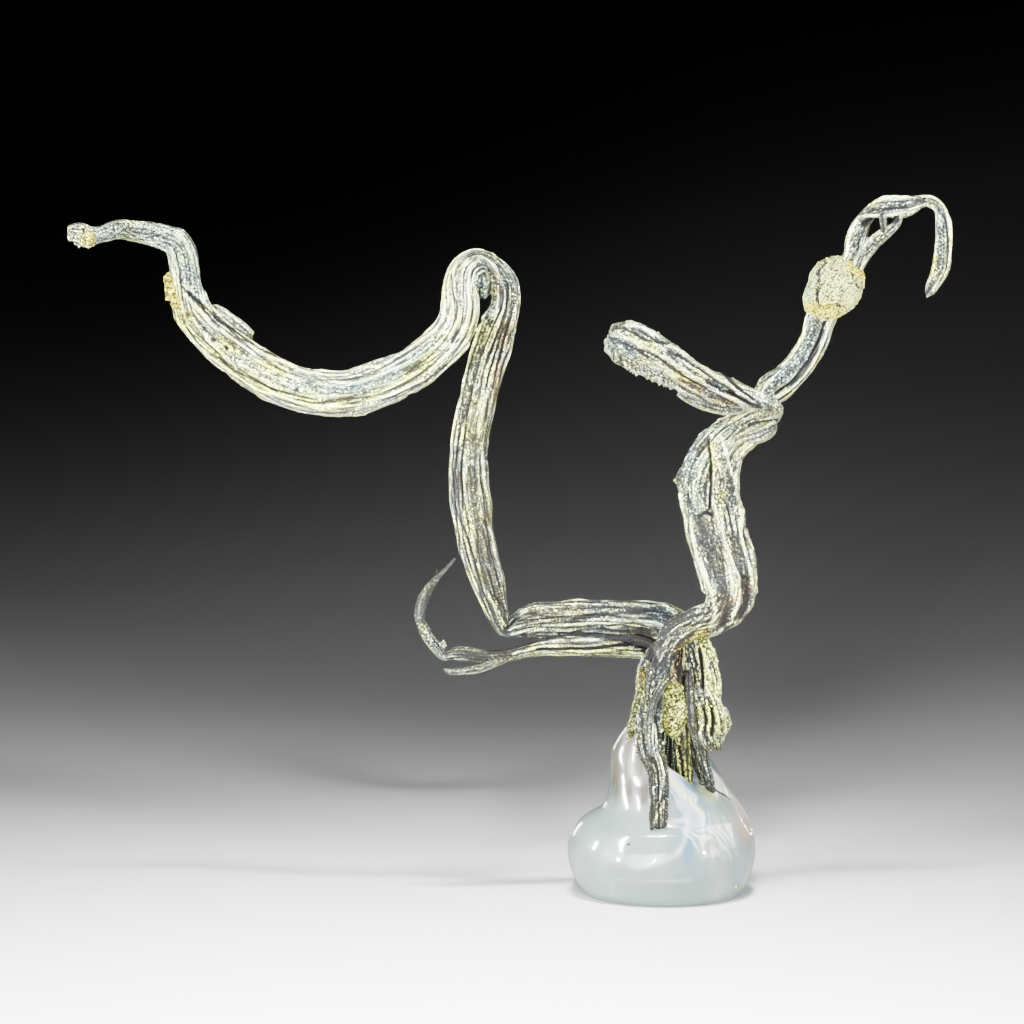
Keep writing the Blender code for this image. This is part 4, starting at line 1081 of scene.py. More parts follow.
@dataclass
class Lump:
    """A ball of grown-together grains."""

    name: str
    centre: Triple
    radii: Triple
    seed: int
    tilt: float = 0.0  # degrees by which the first axis rises to the right
    detail: int = 6  # how often the ball's faces are split
    swell: float = 0.12  # height of the broad lumps, as a share of the mean radius
    grain: float = 0.1  # height of the grains
    grain_size: float = 0.4  # from one grain to the next
    pale: float = 0.0  # how much brighter it is than other silver
    marks: list[Mark] = field(default_factory=list)
    node: str = ""  # the solid that it stands for, if any
    slot: Slot = Slot.SILVER

    def build(self) -> bpy.types.Object:
        """Makes the lump's mesh.

        Returns:
            The piece, with its relief in its attributes.
        """
        deselect_all()
        bpy.ops.mesh.primitive_ico_sphere_add(subdivisions=self.detail, radius=1.0)
        piece = bpy.context.object
        piece.name = self.name
        piece.data.name = self.name
        count = len(piece.data.vertices)
        flat = np.empty(count * 3, np.float32)
        piece.data.vertices.foreach_get("co", flat)
        ball = unit(flat.reshape(-1, 3).astype(float))
        radii = np.array(self.radii)
        noise = Noise(self.seed)
        bare = ball * radii
        outward = unit(ball / radii)
        mean = float(radii.mean())
        swell = noise.smooth(bare / (0.75 * mean) + 3.0) * self.swell * mean
        large = noise.grains(bare / self.grain_size)
        small = noise.grains(bare / (0.45 * self.grain_size) + 20.0)
        height = swell + self.grain * (large - 0.6) + 0.4 * self.grain * (small - 0.5)
        cos, sin = math.cos(-math.radians(self.tilt)), math.sin(-math.radians(self.tilt))
        turn = np.array([[cos, 0.0, sin], [0.0, 1.0, 0.0], [-sin, 0.0, cos]])
        places = bare @ turn.T + np.array(self.centre)
        facing = -(ball @ turn.T)[:, 1]
        tints = {tint: np.zeros(count) for tint in Tint}
        pale = np.full(count, self.pale)
        # Grain tops bright and creases dark in the colour: painted highlight and painted shade.
        cavity_shade = np.clip(0.55 * large + 0.45 * small, 0, 1)
        for mark in self.marks:
            share = mark.share(places, facing)
            height = height - mark.depth * share + mark.worn * share * (swell - height)
            cavity_shade = cavity_shade + mark.worn * share * (WORN_CAVITY_SHADE - cavity_shade)
            pale = pale + mark.pale * share
            if mark.tint:
                tints[mark.tint] = np.maximum(tints[mark.tint], share * mark.strength)
        places = places + (outward @ turn.T) * height[:, None]
        piece.data.vertices.foreach_set("co", (keep_in_box(places) * MM).astype(np.float32).ravel())
        values = {
            # Painted shade between the grains and painted highlight on their tops.
            "cavity_shade": cavity_shade,
            "tone": noise.smooth(bare / 0.8 + 7.0),
            "seams": np.zeros(count),
            "crumbly": np.ones(count),
            "pale": pale,
            "strand": bare,
            **{tint.value: mask for tint, mask in tints.items()},
        }
        for key, value in values.items():
            set_values(piece.data, key, value)
        piece.data.update()
        bpy.ops.object.shade_smooth()
        return piece


class Nodes:
    """Places and links the nodes of one tree."""

    def __init__(self, tree: bpy.types.NodeTree) -> None:
        """Empties the tree."""
        self.tree = tree
        tree.nodes.clear()

    def add(self, kind: str, **settings: object) -> bpy.types.Node:
        """Adds a node.

        Args:
            kind: the node's type.
            settings: its properties, and `values`, a dict of its sockets' values.

        Returns:
            The node.
        """
        values = settings.pop("values", {})
        node = self.tree.nodes.new(kind)
        for name, value in settings.items():
            setattr(node, name, value)
        for name, value in values.items():
            node.inputs[name].default_value = value
        return node

    def link(self, start: Socket, end: Socket) -> None:
        """Joins two sockets."""
        self.tree.links.new(start, end)

    def feed(self, socket: Socket, value: object) -> None:
        """Gives a socket its value.

        Args:
            socket: the socket.
            value: another socket to link to it, or a number or a colour.
        """
        if isinstance(value, Socket):
            self.link(value, socket)
        else:
            socket.default_value = value

    def math(self, operation: str, *parts: object, clamp: bool = False) -> Socket:
        """Works one sum out of sockets or numbers.

        Args:
            operation: the Math node's operation.
            parts: sockets or numbers, as many as the operation takes.
            clamp: whether the result is kept from 0 to 1.

        Returns:
            The result's socket.
        """
        node = self.add("ShaderNodeMath", operation=operation, use_clamp=clamp)
        for socket, value in zip(node.inputs, parts):
            self.feed(socket, value)
        return node.outputs[0]

    def weigh(self, value: object, middle: object, weight: object, clamp: bool = False) -> Socket:
        """(value - middle) * weight, of sockets or numbers."""
        return self.math("MULTIPLY", self.math("SUBTRACT", value, middle), weight, clamp=clamp)

    def attribute(self, name: str, vector: bool = False) -> Socket:
        """Reads one of the mesh's own attributes."""
        node = self.add("ShaderNodeAttribute", attribute_name=name)
        return node.outputs["Vector" if vector else "Fac"]

    def mix(self, share: object, first: object, second: object, kind: str = "MIX") -> Socket:
        """Mixes two colours.

        Args:
            share: how much of the second there is.
            first: a socket or a colour.
            second: a socket or a colour.
            kind: how they blend.

        Returns:
            The mixed colour's socket.
        """
        node = self.add("ShaderNodeMix", data_type="RGBA", blend_type=kind)
        for index, value in ((0, share), (6, first), (7, second)):
            self.feed(node.inputs[index], value)
        return node.outputs[2]

    def ramp(self, value: Socket, stops: list[tuple[float, tuple]]) -> Socket:
        """Turns a number into a colour.

        Args:
            value: the number's socket.
            stops: places from 0 to 1, each with its colour.

        Returns:
            The colour's socket.
        """
        node = self.add("ShaderNodeValToRGB")
        elements = node.color_ramp.elements
        for _ in range(len(stops) - 2):
            elements.new(0.5)
        for element, (place, colour) in zip(elements, stops):
            element.position = place
            element.color = (*colour, 1.0)
        self.link(value, node.inputs[0])
        return node.outputs[0]

    def noise(self, vector: Socket, scale: object, detail: float = 3.0) -> Socket:
        """Soft noise from 0 to 1.

        Args:
            vector: the coordinates.
            scale: three scales, one for each axis.
            detail: how many finer layers it has.

        Returns:
            The value's socket.
        """
        place = self.add("ShaderNodeMapping", values={"Scale": scale})
        self.link(vector, place.inputs["Vector"])
        node = self.add("ShaderNodeTexNoise", values={"Scale": 1.0, "Detail": detail})
        self.link(place.outputs[0], node.inputs["Vector"])
        return node.outputs["Fac"]


def effect_group(name: str, source: str, outputs: list[str]) -> tuple[Nodes, Socket, bpy.types.Node]:
    """Starts a shader node group that turns coordinates into numbers.

    Args:
        name: the group's name.
        source: the name of its input, a vector.
        outputs: the names of its outputs, all numbers.

    Returns:
        A helper to fill the group with, the coordinates' socket and the node of its outputs.
    """
    group = bpy.data.node_groups.new(name, "ShaderNodeTree")
    group.interface.new_socket(source, in_out="INPUT", socket_type="NodeSocketVector")
    for label in outputs:
        group.interface.new_socket(label, in_out="OUTPUT", socket_type="NodeSocketFloat")
    nodes = Nodes(group)
    start = nodes.add("NodeGroupInput")
    return nodes, start.outputs[0], nodes.add("NodeGroupOutput")


def start_material(name: str, values: dict[str, object]) -> tuple[Material, Nodes, bpy.types.Node]:
    """Starts a material with one shader.

    Args:
        name: the material's name.
        values: values of the shader's sockets.

    Returns:
        The material, a helper to fill it with and the shader.
    """
    material = bpy.data.materials.new(name)
    material.use_nodes = True
    nodes = Nodes(material.node_tree)
    end = nodes.add("ShaderNodeOutputMaterial")
    shader = nodes.add("ShaderNodeBsdfPrincipled", values=values)
    nodes.link(shader.outputs[0], end.inputs["Surface"])
    return material, nodes, shader


def streaks_group() -> bpy.types.NodeTree:
    """Fine lines that run along a wire, coarse and fine.

    Returns:
        The group, which reads the wire's own coordinates.
    """
    nodes, strand, end = effect_group("lengthwise_streaks", "Strand", ["Fine", "Coarse"])
    nodes.link(nodes.noise(strand, (1.5, 7.5, 7.5), 2.0), end.inputs["Fine"])
    nodes.link(nodes.noise(strand, (0.45, 3.6, 3.6), 2.0), end.inputs["Coarse"])
    return nodes.tree


def speckle_group() -> bpy.types.NodeTree:
    """Crystal grains on any surface.

    Returns:
        The group, which reads Object coordinates in metres.
    """
    nodes, metres, end = effect_group("crystal_speckle", "Object", ["Dots", "Sand", "Patches"])
    place = nodes.add("ShaderNodeVectorMath", operation="SCALE", values={"Scale": 1000.0})
    nodes.link(metres, place.inputs[0])
    dots = nodes.add("ShaderNodeTexVoronoi", feature="F1", values={"Scale": 7.5})
    nodes.link(place.outputs[0], dots.inputs["Vector"])
    nodes.link(dots.outputs["Distance"], end.inputs["Dots"])
    nodes.link(nodes.noise(place.outputs[0], (8.5, 8.5, 8.5), 3.0), end.inputs["Sand"])
    nodes.link(nodes.noise(place.outputs[0], (0.7, 0.7, 0.7), 4.0), end.inputs["Patches"])
    return nodes.tree


@dataclass(frozen=True)
class SilverFinish:
    """Bright ridges, grey flanks and black grooves, with tarnish in patches; ridges and grooves partly painted
    light and shade.
    """

    name: str
    warm: tuple[Triple, ...] = (
        (0.008, 0.007, 0.006),
        (0.028, 0.029, 0.016),
        (0.098, 0.108, 0.050),
        (0.34, 0.37, 0.135),
        (1.0, 1.0, 0.35),
    )
    cool: tuple[Triple, ...] = (
        (0.008, 0.008, 0.009),
        (0.027, 0.031, 0.027),
        (0.080, 0.104, 0.084),
        (0.285, 0.36, 0.255),
        (0.90, 1.0, 0.60),
    )
    gold: Triple = (1.0, 0.86, 0.06)
    olive: Triple = (0.98, 1.0, 0.34)
    blue: Triple = (0.68, 0.88, 1.12)
    brown: Triple = (0.74, 0.54, 0.44)
    warmth: float = 0.0  # more cream and less blue-grey above 0
    metal: float = 0.5
    brightness: float = 0.0
    contrast: float = 1.22
    speckle: float = 1.0
    rough: float = 0.66  # roughness of a black groove; a bright ridge is smoother

    def level(self, nodes: Nodes, lines: bpy.types.Node, grains: bpy.types.Node) -> Socket:
        """How bright each spot is, from 0 in a black crack to 1 on a bright ridge.

        Args:
            nodes: the material's nodes.
            lines: the group of lengthwise lines.
            grains: the group of crystal grains.

        Returns:
            The value's socket.
        """
        crumbly = nodes.attribute("crumbly")
        dots = nodes.weigh(0.42, grains.outputs["Dots"], crumbly)
        sand = nodes.weigh(grains.outputs["Sand"], 0.5, crumbly)
        # Painted shade in the grooves and painted highlight on the ridges, from the mesh's cavity.
        total = nodes.weigh(nodes.attribute("cavity_shade"), 0.5, 0.75)
        for part, middle, weight in (
            (nodes.attribute("tone"), 0.0, 0.16),
            (nodes.attribute("seams"), 0.0, 0.34),
            (lines.outputs["Fine"], 0.5, 1.1),
            (lines.outputs["Coarse"], 0.5, 0.6),
            (grains.outputs["Sand"], 0.5, 1.5 * self.speckle),
            (sand, 0.0, 1.3 * self.speckle),
            (dots, 0.0, 0.5 * self.speckle),
        ):
            total = nodes.math("ADD", total, nodes.weigh(part, middle, weight))
        total = nodes.math("MULTIPLY", total, self.contrast)
        total = nodes.math("ADD", total, nodes.attribute("pale"))
        return nodes.math("ADD", total, 0.34 + self.brightness)

    def material(self, streaks: bpy.types.NodeTree, speckle: bpy.types.NodeTree) -> Material:
        """Makes the material.

        Args:
            streaks: the group of lengthwise lines.
            speckle: the group of crystal grains.

        Returns:
            The material.
        """
        material, nodes, shader = start_material(self.name, {"Specular IOR Level": 0.15})
        lines = nodes.add("ShaderNodeGroup", node_tree=streaks)
        nodes.link(nodes.attribute("strand", vector=True), lines.inputs["Strand"])
        grains = nodes.add("ShaderNodeGroup", node_tree=speckle)
        place = nodes.add("ShaderNodeTexCoord").outputs["Object"]
        nodes.link(place, grains.inputs["Object"])
        level = self.level(nodes, lines, grains)
        places = np.linspace(0, 1, len(self.cool)).tolist()
        cool = nodes.ramp(level, list(zip(places, self.cool)))
        warm = nodes.ramp(level, list(zip(places, self.warm)))
        share = nodes.weigh(grains.outputs["Patches"], 0.5 - self.warmth, 5.0)
        share = nodes.math("ADD", share, 0.5, clamp=True)
        colour = nodes.mix(share, cool, warm)
        for tint, stain in (
            (Tint.BLUE, self.blue),
            (Tint.BROWN, self.brown),
            (Tint.OLIVE, self.olive),
            (Tint.GOLD, self.gold),
        ):
            broken = nodes.math("MULTIPLY", nodes.attribute(tint.value), 2.0)
            broken = nodes.math("MULTIPLY", broken, grains.outputs["Patches"], clamp=True)
            colour = nodes.mix(broken, colour, nodes.mix(1.0, colour, (*stain, 1.0), "MULTIPLY"))
        nodes.link(colour, shader.inputs["Base Color"])
        nodes.link(nodes.weigh(level, 0.45, self.metal * 4.0, clamp=True), shader.inputs["Metallic"])
        nodes.link(nodes.math("MULTIPLY_ADD", level, -0.38, self.rough), shader.inputs["Roughness"])
        fine = nodes.math("ADD", lines.outputs["Fine"], grains.outputs["Sand"])
        bump = nodes.add("ShaderNodeBump", values={"Strength": 0.8, "Distance": 0.0001})
        nodes.link(fine, bump.inputs["Height"])
        nodes.link(bump.outputs[0], shader.inputs["Normal"])
        return material


class MilkAndReflection(Enum):
    """What clouds the glue in patches, and the reflections and highlights painted on it. Each is an attribute
    of its mesh.
    """

    HAZE = "haze"
    VEIL = "veil"
    # Cream streaks, and one painted highlight.
    CREAM = "cream"
    # A painted pinkish reflection.
    PINK = "pink"
    # Painted reflections and a painted highlight.
    WHITE = "white"


# The folded-over edge on the glue's right, as a line of (x, z) points.
GLUE_CREST: tuple[Point, ...] = ((2.0, 7.2), (2.6, 7.1), (3.3, 6.75), (4.2, 5.9), (4.9, 4.9), (5.4, 4.0))

# Clouds and painted reflections and highlights on the glue, as (x, z) lines on the show side with a reach in
# millimetres.
GLUE_MARKS: list[tuple[MilkAndReflection, float, tuple[Point, ...]]] = [
    (MilkAndReflection.HAZE, 1.3, ((-2.7, 10.1), (-2.9, 8.5), (-2.7, 7.0))),
    (MilkAndReflection.HAZE, 0.9, ((-1.6, 9.8), (-1.3, 6.7))),
    (MilkAndReflection.HAZE, 0.8, ((1.9, 7.4), (3.0, 6.9))),
    (MilkAndReflection.VEIL, 1.2, ((0.5, 7.4), (1.6, 6.6), (2.2, 5.4))),
    (MilkAndReflection.VEIL, 0.6, ((1.0, 5.8), (1.4, 3.9), (1.4, 3.0))),
    (MilkAndReflection.CREAM, 0.3, ((0.2, 7.9), (1.2, 6.7), (2.3, 5.7))),
    # Painted highlight: a pale yellow spot below the crest's right end.
    (MilkAndReflection.CREAM, 0.6, ((2.5, 6.9), (3.1, 6.4))),
    # Painted reflection: a fan of window streaks on the lower right.
    (MilkAndReflection.WHITE, 0.18, ((2.3, 5.8), (2.3, 3.1))),
    (MilkAndReflection.WHITE, 0.18, ((2.7, 5.7), (3.0, 2.9))),
    (MilkAndReflection.WHITE, 0.18, ((3.0, 5.7), (3.7, 2.9))),
    (MilkAndReflection.WHITE, 0.18, ((3.2, 5.5), (4.1, 2.9))),
    (MilkAndReflection.WHITE, 0.18, ((3.6, 5.4), (4.5, 3.1))),
    # Painted reflection: the bright curved band on the lower front.
    (MilkAndReflection.WHITE, 0.26, ((1.3, 5.4), (1.15, 4.2), (0.6, 3.4), (-0.4, 3.0))),
    # Painted reflection: a bright band near the foot.
    (MilkAndReflection.WHITE, 0.13, ((-3.3, 0.8), (-3.35, 1.7), (-1.0, 1.75), (1.6, 1.85))),
    # Painted highlight along the crest's edge.
    (MilkAndReflection.WHITE, 0.2, ((0.1, 8.35), (0.7, 8.0), (1.25, 7.7), (2.1, 7.3), (2.9, 7.1), *GLUE_CREST[2:5])),
    # Painted reflection: the pinkish lit facet of the right lobe.
    (MilkAndReflection.PINK, 1.2, ((2.9, 9.0), (3.9, 7.6), (5.0, 5.6), (5.5, 3.8))),
]


@dataclass(frozen=True)
class GlueFinish:
    """Milky, slightly see-through set glue with a wet gloss, and reflections and highlights painted into its
    colour.
    """

    name: str = "milky_glue"
    tints: tuple[tuple[MilkAndReflection, Triple, float], ...] = (  # each cloud's colour and strength, and those of the painted reflections and highlights
        (MilkAndReflection.HAZE, (0.13, 0.115, 0.07), 1.8),
        # The colour of the painted pinkish reflection.
        (MilkAndReflection.PINK, (0.68, 0.46, 0.35), 1.4),
        (MilkAndReflection.VEIL, (0.13, 0.32, 0.50), 1.9),
        # Cream streaks, and the painted highlight below the crest.
        (MilkAndReflection.CREAM, (0.95, 1.0, 0.42), 1.7),
        # The colour of the painted reflections and highlight.
        (MilkAndReflection.WHITE, (0.92, 1.0, 0.98), 0.9),
    )
    body: Triple = (0.39, 0.515, 0.45)
    cloud: Triple = (0.28, 0.40, 0.41)
    warm: Triple = (0.60, 0.53, 0.42)

    def material(self) -> Material:
        """Makes the material.

        Returns:
            The material.
        """
        values = {
            "Roughness": 0.3,
            "IOR": 1.48,
            "Transmission Weight": 0.5,
            "Subsurface Weight": 0.6,
            "Subsurface Radius": (1.0, 1.05, 1.1),
            "Subsurface Scale": 0.0016,
            "Coat Weight": 1.0,
            "Coat Roughness": 0.02,
            "Coat IOR": 1.6,
        }
        material, nodes, shader = start_material(self.name, values)
        where = nodes.add("ShaderNodeTexCoord").outputs["Object"]
        clouds = nodes.noise(where, (260.0, 260.0, 160.0), 3.0)
        veins = nodes.noise(where, (420.0, 300.0, 140.0), 2.0)
        clouds = nodes.ramp(clouds, [(0.4, (0,) * 3), (0.7, (1,) * 3)])
        colour = nodes.mix(clouds, (*self.body, 1.0), (*self.cloud, 1.0))
        veins = nodes.ramp(veins, [(0.58, (0,) * 3), (0.72, (0.7,) * 3)])
        colour = nodes.mix(veins, colour, (*self.warm, 1.0))
        threads = nodes.noise(where, (1500.0, 1500.0, 150.0), 2.0)
        wisps = nodes.noise(where, (700.0, 500.0, 420.0), 3.0)
        # Clouds, and the painted reflections and highlights, laid over the body colour.
        for milk_and_reflection, tint, strength in self.tints:
            broken = threads if milk_and_reflection is MilkAndReflection.HAZE else wisps
            broken = nodes.weigh(broken, 0.25, 2.6, clamp=True)
            share = nodes.math("MULTIPLY", nodes.attribute(milk_and_reflection.value), broken)
            share = nodes.math("MULTIPLY", share, strength, clamp=True)
            colour = nodes.mix(share, colour, (*tint, 1.0))
        nodes.link(colour, shader.inputs["Base Color"])
        return material


@dataclass(frozen=True)
class FloorFinish:
    """Plain pale paper."""

    colour: Triple = (0.86, 0.86, 0.86)

    def material(self) -> Material:
        """Makes the material."""
        values = {"Base Color": (*self.colour, 1.0), "Roughness": 0.9, "Specular IOR Level": 0.0}
        return start_material("pale_paper", values)[0]


@dataclass
class Branch:
    """A sub-assembly with pieces of silver."""

    silver: Material
    granular: Material

    def add(self, *forms: Wire | Lump) -> None:
        """Makes and dresses pieces.

        Args:
            forms: the pieces, in the order in which they are made.
        """
        for form in forms:
            material = self.granular if form.slot is Slot.GRANULAR else self.silver
            finish_piece(form.build(), material, form.node)


@dataclass
class LeftArm(Branch):
    """The long wire, with its flake, the web in its upper fold and the golden crystals on its bow and tip."""

    pale: tuple[float, ...] = (0.0, 0.0, 0.0, 0.02, 0.06, 0.22, 0.28, 0.3, 0.3, 0.3, 0.3, 0.36, 0.4)
    crust: tuple[tuple[float, float, float, float], ...] = (  # x, y, z and radius of each clump of crystals
        (-30.95, 1.2, 38.6, 0.42),
        (-30.85, 1.1, 37.9, 0.48),
        (-30.5, 1.1, 37.25, 0.4),
        (-35.8, -0.3, 41.35, 0.5),
    )

    def build(self) -> None:
        """Makes and dresses the pieces."""
        self.add(
            Wire(
                "left_arm_wire", LEFT_ARM, 11, pitch=0.45, spacing=0.13, column=0.048,
                pale=self.pale, marks=LEFT_ARM_MARKS, node="left_arm",
            ),
            Wire("bow_flake", BOW_FLAKE, 12, gutters=0.03, spacing=0.08, pale=(0.2, 0.2)),
            Wire(
                "hairpin_web", HAIRPIN_WEB, 13, crumble=1.0, spacing=0.08, column=0.045,
                pale=(0.1, 0.0), marks=HAIRPIN_MARKS,
            ),
        )
        for number, (x, y, z, radius) in enumerate(self.crust, 1):
            name, radii = f"golden_crystals_{number}", (radius * 0.85, radius, radius * 1.2)
            gold = Mark(((x, z),), 2.0, tint=Tint.GOLD, round_the_back=True)
            self.add(
                Lump(
                    name, (x, y, z), radii, 14 + number, detail=5, grain_size=0.3, pale=0.5,
                    marks=[gold], slot=Slot.GRANULAR,
                )
            )


@dataclass
class Spur(Branch):
    """The thin wire below the level run, with its thread, spike and speck, and a black strip of painted shadow
    in the crevice above it.
    """

    def build(self) -> None:
        """Makes and dresses the pieces."""
        fine = {"spacing": 0.08, "column": 0.04}
        self.add(
            Wire(
                "spur_wire", SPUR, 21, pitch=0.36, hair=0.16, gutters=0.12, spacing=0.09, column=0.04,
                pale=(-0.04, 0.0), marks=SPUR_MARKS, node="spur",
            ),
            Wire("spur_thread", SPUR_THREAD, 22, pitch=0.3, hair=0.15, gutters=0.05, **fine),
            # A black strip that paints the shadow in the crevice.
            Wire("spur_crevice_shadow", CREVICE_SHADOW, 25, pitch=0.3, gutters=0.0, pale=(-1.0, -1.0)),
            Wire("spur_spike", SPUR_SPIKE, 24, pitch=0.2, hair=0.1, gutters=0.0, spacing=0.05, column=0.03),
            Lump(
                "spur_speck", (-13.9, -0.65, 15.95), (0.22, 0.2, 0.24), 23, detail=4, grain_size=0.2, pale=0.5
            ),
        )


@dataclass
class RightArm(Branch):
    """The broad wire with its fold and stub, and the flake, curled lobe, knob and tooth on it."""

    pale: tuple[float, ...] = (0.02, 0.05, 0.08, 0.1, 0.12, 0.2, 0.3, 0.2, 0.17, 0.17)

    def build(self) -> None:
        """Makes and dresses the pieces."""
        self.add(
            Wire(
                "right_arm_wire", RIGHT_ARM, 31, pitch=0.85, rim=0.14, rim_share=0.6, gutters=0.2,
                grain=0.09, crumble=0.7, spacing=0.125, column=0.05,
                pale=self.pale, marks=RIGHT_ARM_MARKS + STUB_MARKS, node="right_arm",
            ),
            Wire("stub_flake", STUB_FLAKE, 32, gutters=0.03, hollow=0.08, spacing=0.08, pale=(0.15, 0.15)),
            Wire(
                "curled_lobe", CURLED_LOBE, 33, pitch=0.4, gutters=0.06, spacing=0.07, column=0.04,
                pale=(0.25, 0.3),
            ),
            Lump(
                "side_knob", (1.1, -0.3, 26.3), (0.42, 0.4, 0.85), 34,
                detail=5, grain=0.06, grain_size=0.22, pale=0.1,
            ),
            Lump(
                "side_tooth", (0.84, -0.35, 26.2), (0.34, 0.24, 0.2), 36,
                tilt=-15.0, detail=5, grain=0.05, grain_size=0.15, pale=0.25,
            ),
        )


@dataclass
class Tendril(Branch):
    """The wire that rises behind the fold, its nodule and the hook beyond."""

    def build(self) -> None:
        """Makes and dresses the pieces."""
        fine = {"spacing": 0.09, "column": 0.04}
        self.add(
            Wire(
                "tendril_wire", TENDRIL, 41, hollow=0.08, spacing=0.11, column=0.048,
                pale=(0.2, 0.15), marks=TENDRIL_MARKS, node="tendril",
            ),
            Lump(
                "nodule_grains", (10.45, 0.35, 38.25), (2.15, 1.6, 1.7), 42, tilt=52.0, detail=7,
                grain=0.11, grain_size=0.19, pale=0.55, marks=NODULE_MARKS, node="nodule", slot=Slot.GRANULAR,
            ),
            Wire(
                "hook_ribbon", HOOK, 43, pitch=0.5, hair=0.16, gutters=0.04, hollow=0.13, pale=(0.3, 0.38),
                marks=HOOK_MARKS, node="hook", **fine,
            ),
            Wire(
                "hook_strand", HOOK_STRAND, 44, pitch=0.4, hair=0.15, gutters=0.03, hollow=0.06,
                pale=(0.2, 0.3), marks=HOOK_STRAND_MARKS, **fine,
            ),
            Wire(
                "hook_plate", HOOK_PLATE, 45, pitch=0.4, hair=0.16, gutters=0.04, spacing=0.08, column=0.04,
                pale=(0.25, 0.3), marks=HOOK_PLATE_MARKS,
            ),
            Wire(
                "hook_post", HOOK_POST, 46, pitch=0.3, hair=0.14, gutters=0.0, spacing=0.06, column=0.035,
                pale=(-0.15, 0.1),
            ),
        )


@dataclass
class Roots(Branch):
    """The bundle of wires that stands in the glue."""

    curl_centre: Triple = (2.98, -0.55, 10.95)
    curl_radii: tuple[float, float] = (0.22, 0.92)  # at the inner end, and where the strap leaves the roll
    curl_stretch: float = 1.3
    curl_turns: float = 1.6
    curl_start: float = 115.0  # degrees
    curl_dents: float = 0.01
    curl_strap: tuple[float, float] = (0.5, 1.9)  # thickness, and width along Y
    curl_rows: int = 25

    def curl_route(self) -> list[Row]:
        """Rolls a strap up about the Y axis.

        Returns:
            The strap's rows, from the outside in.
        """
        rows = []
        for step in range(self.curl_rows):
            share = step / (self.curl_rows - 1)
            angle = math.radians(self.curl_start) - share * self.curl_turns * 2 * math.pi
            radius = self.curl_radii[1] + (self.curl_radii[0] - self.curl_radii[1]) * share
            radius *= 1 + self.curl_dents * math.sin(5.0 * angle)
            x = self.curl_centre[0] + radius * math.cos(angle)
            y = self.curl_centre[1] - 0.35 * math.sin(1.7 * angle)
            z = self.curl_centre[2] + self.curl_stretch * radius * math.sin(angle)
            width = self.curl_strap[0] * (1 + 0.3 * math.sin(3.1 * angle))
            rows.append((x, y, z, width, self.curl_strap[1]))
        return rows

    def build(self) -> None:
        """Makes and dresses the pieces."""
        old = {"grain": 0.15, "crumble": 0.8}
        edge = {"grain": 0.1, "crumble": 1.0, "marks": OLIVE_MARKS, "pale": (0.16, 0.16, 0.1)}
        right = {"grain": 0.13, "crumble": 1.0, "marks": ROOT_RIGHT_MARKS, "pale": (0.06, 0.0)}
        lobe = {"grain": 0.16, "crumble": 1.0, "marks": CURL_MARKS, "gutters": 0.24, "wavy": 0.16}
        self.add(
            RootWire("root_back", ROOT_BACK, 51, pale=(-0.15, -0.15), node="roots"),
            RootWire("root_front", ROOT_FRONT, 52, marks=ROOT_FRONT_MARKS, pale=(-0.08, -0.1, -0.2), **old),
            RootWire("root_left", ROOT_LEFT, 53, marks=ROOT_LEFT_MARKS, pale=(-0.14, -0.16), **old),
            RootWire("root_right", ROOT_RIGHT, 55, **right),
            RootWire("olive_edge", OLIVE_EDGE, 58, **edge),
            RootWire("dark_strand", DARK_STRAND, 60, pitch=0.35, pale=(-0.2, -0.15)),
            RootWire("curl_lobe", CURL_LOBE, 62, **lobe),
            RootWire("wavy_strand", WAVY_STRAND, 59, pitch=0.3, column=0.04, pale=(0.05, 0.05)),
            RootWire("root_thread", ROOT_THREAD, 56, pitch=0.4, pale=(-0.1, -0.1)),
            RootWire("root_curl", self.curl_route(), 57, grain=0.14, crumble=1.0, pale=(0.12, 0.0)),
            RootWire(
                "root_matrix", ROOT_MATRIX, 54, grain=0.16, grain_size=0.26, crumble=1.0, spacing=0.08,
                column=0.045, pale=(-0.2, -0.1, 0.0), marks=ROOT_MATRIX_MARKS, slot=Slot.GRANULAR,
            ),
            Lump(
                "matrix_grains", (0.55, -1.35, 11.95), (0.9, 0.75, 1.75), 63, swell=0.2,
                grain_size=0.24, pale=0.24, marks=GRAIN_MARKS, slot=Slot.GRANULAR,
            ),
        )


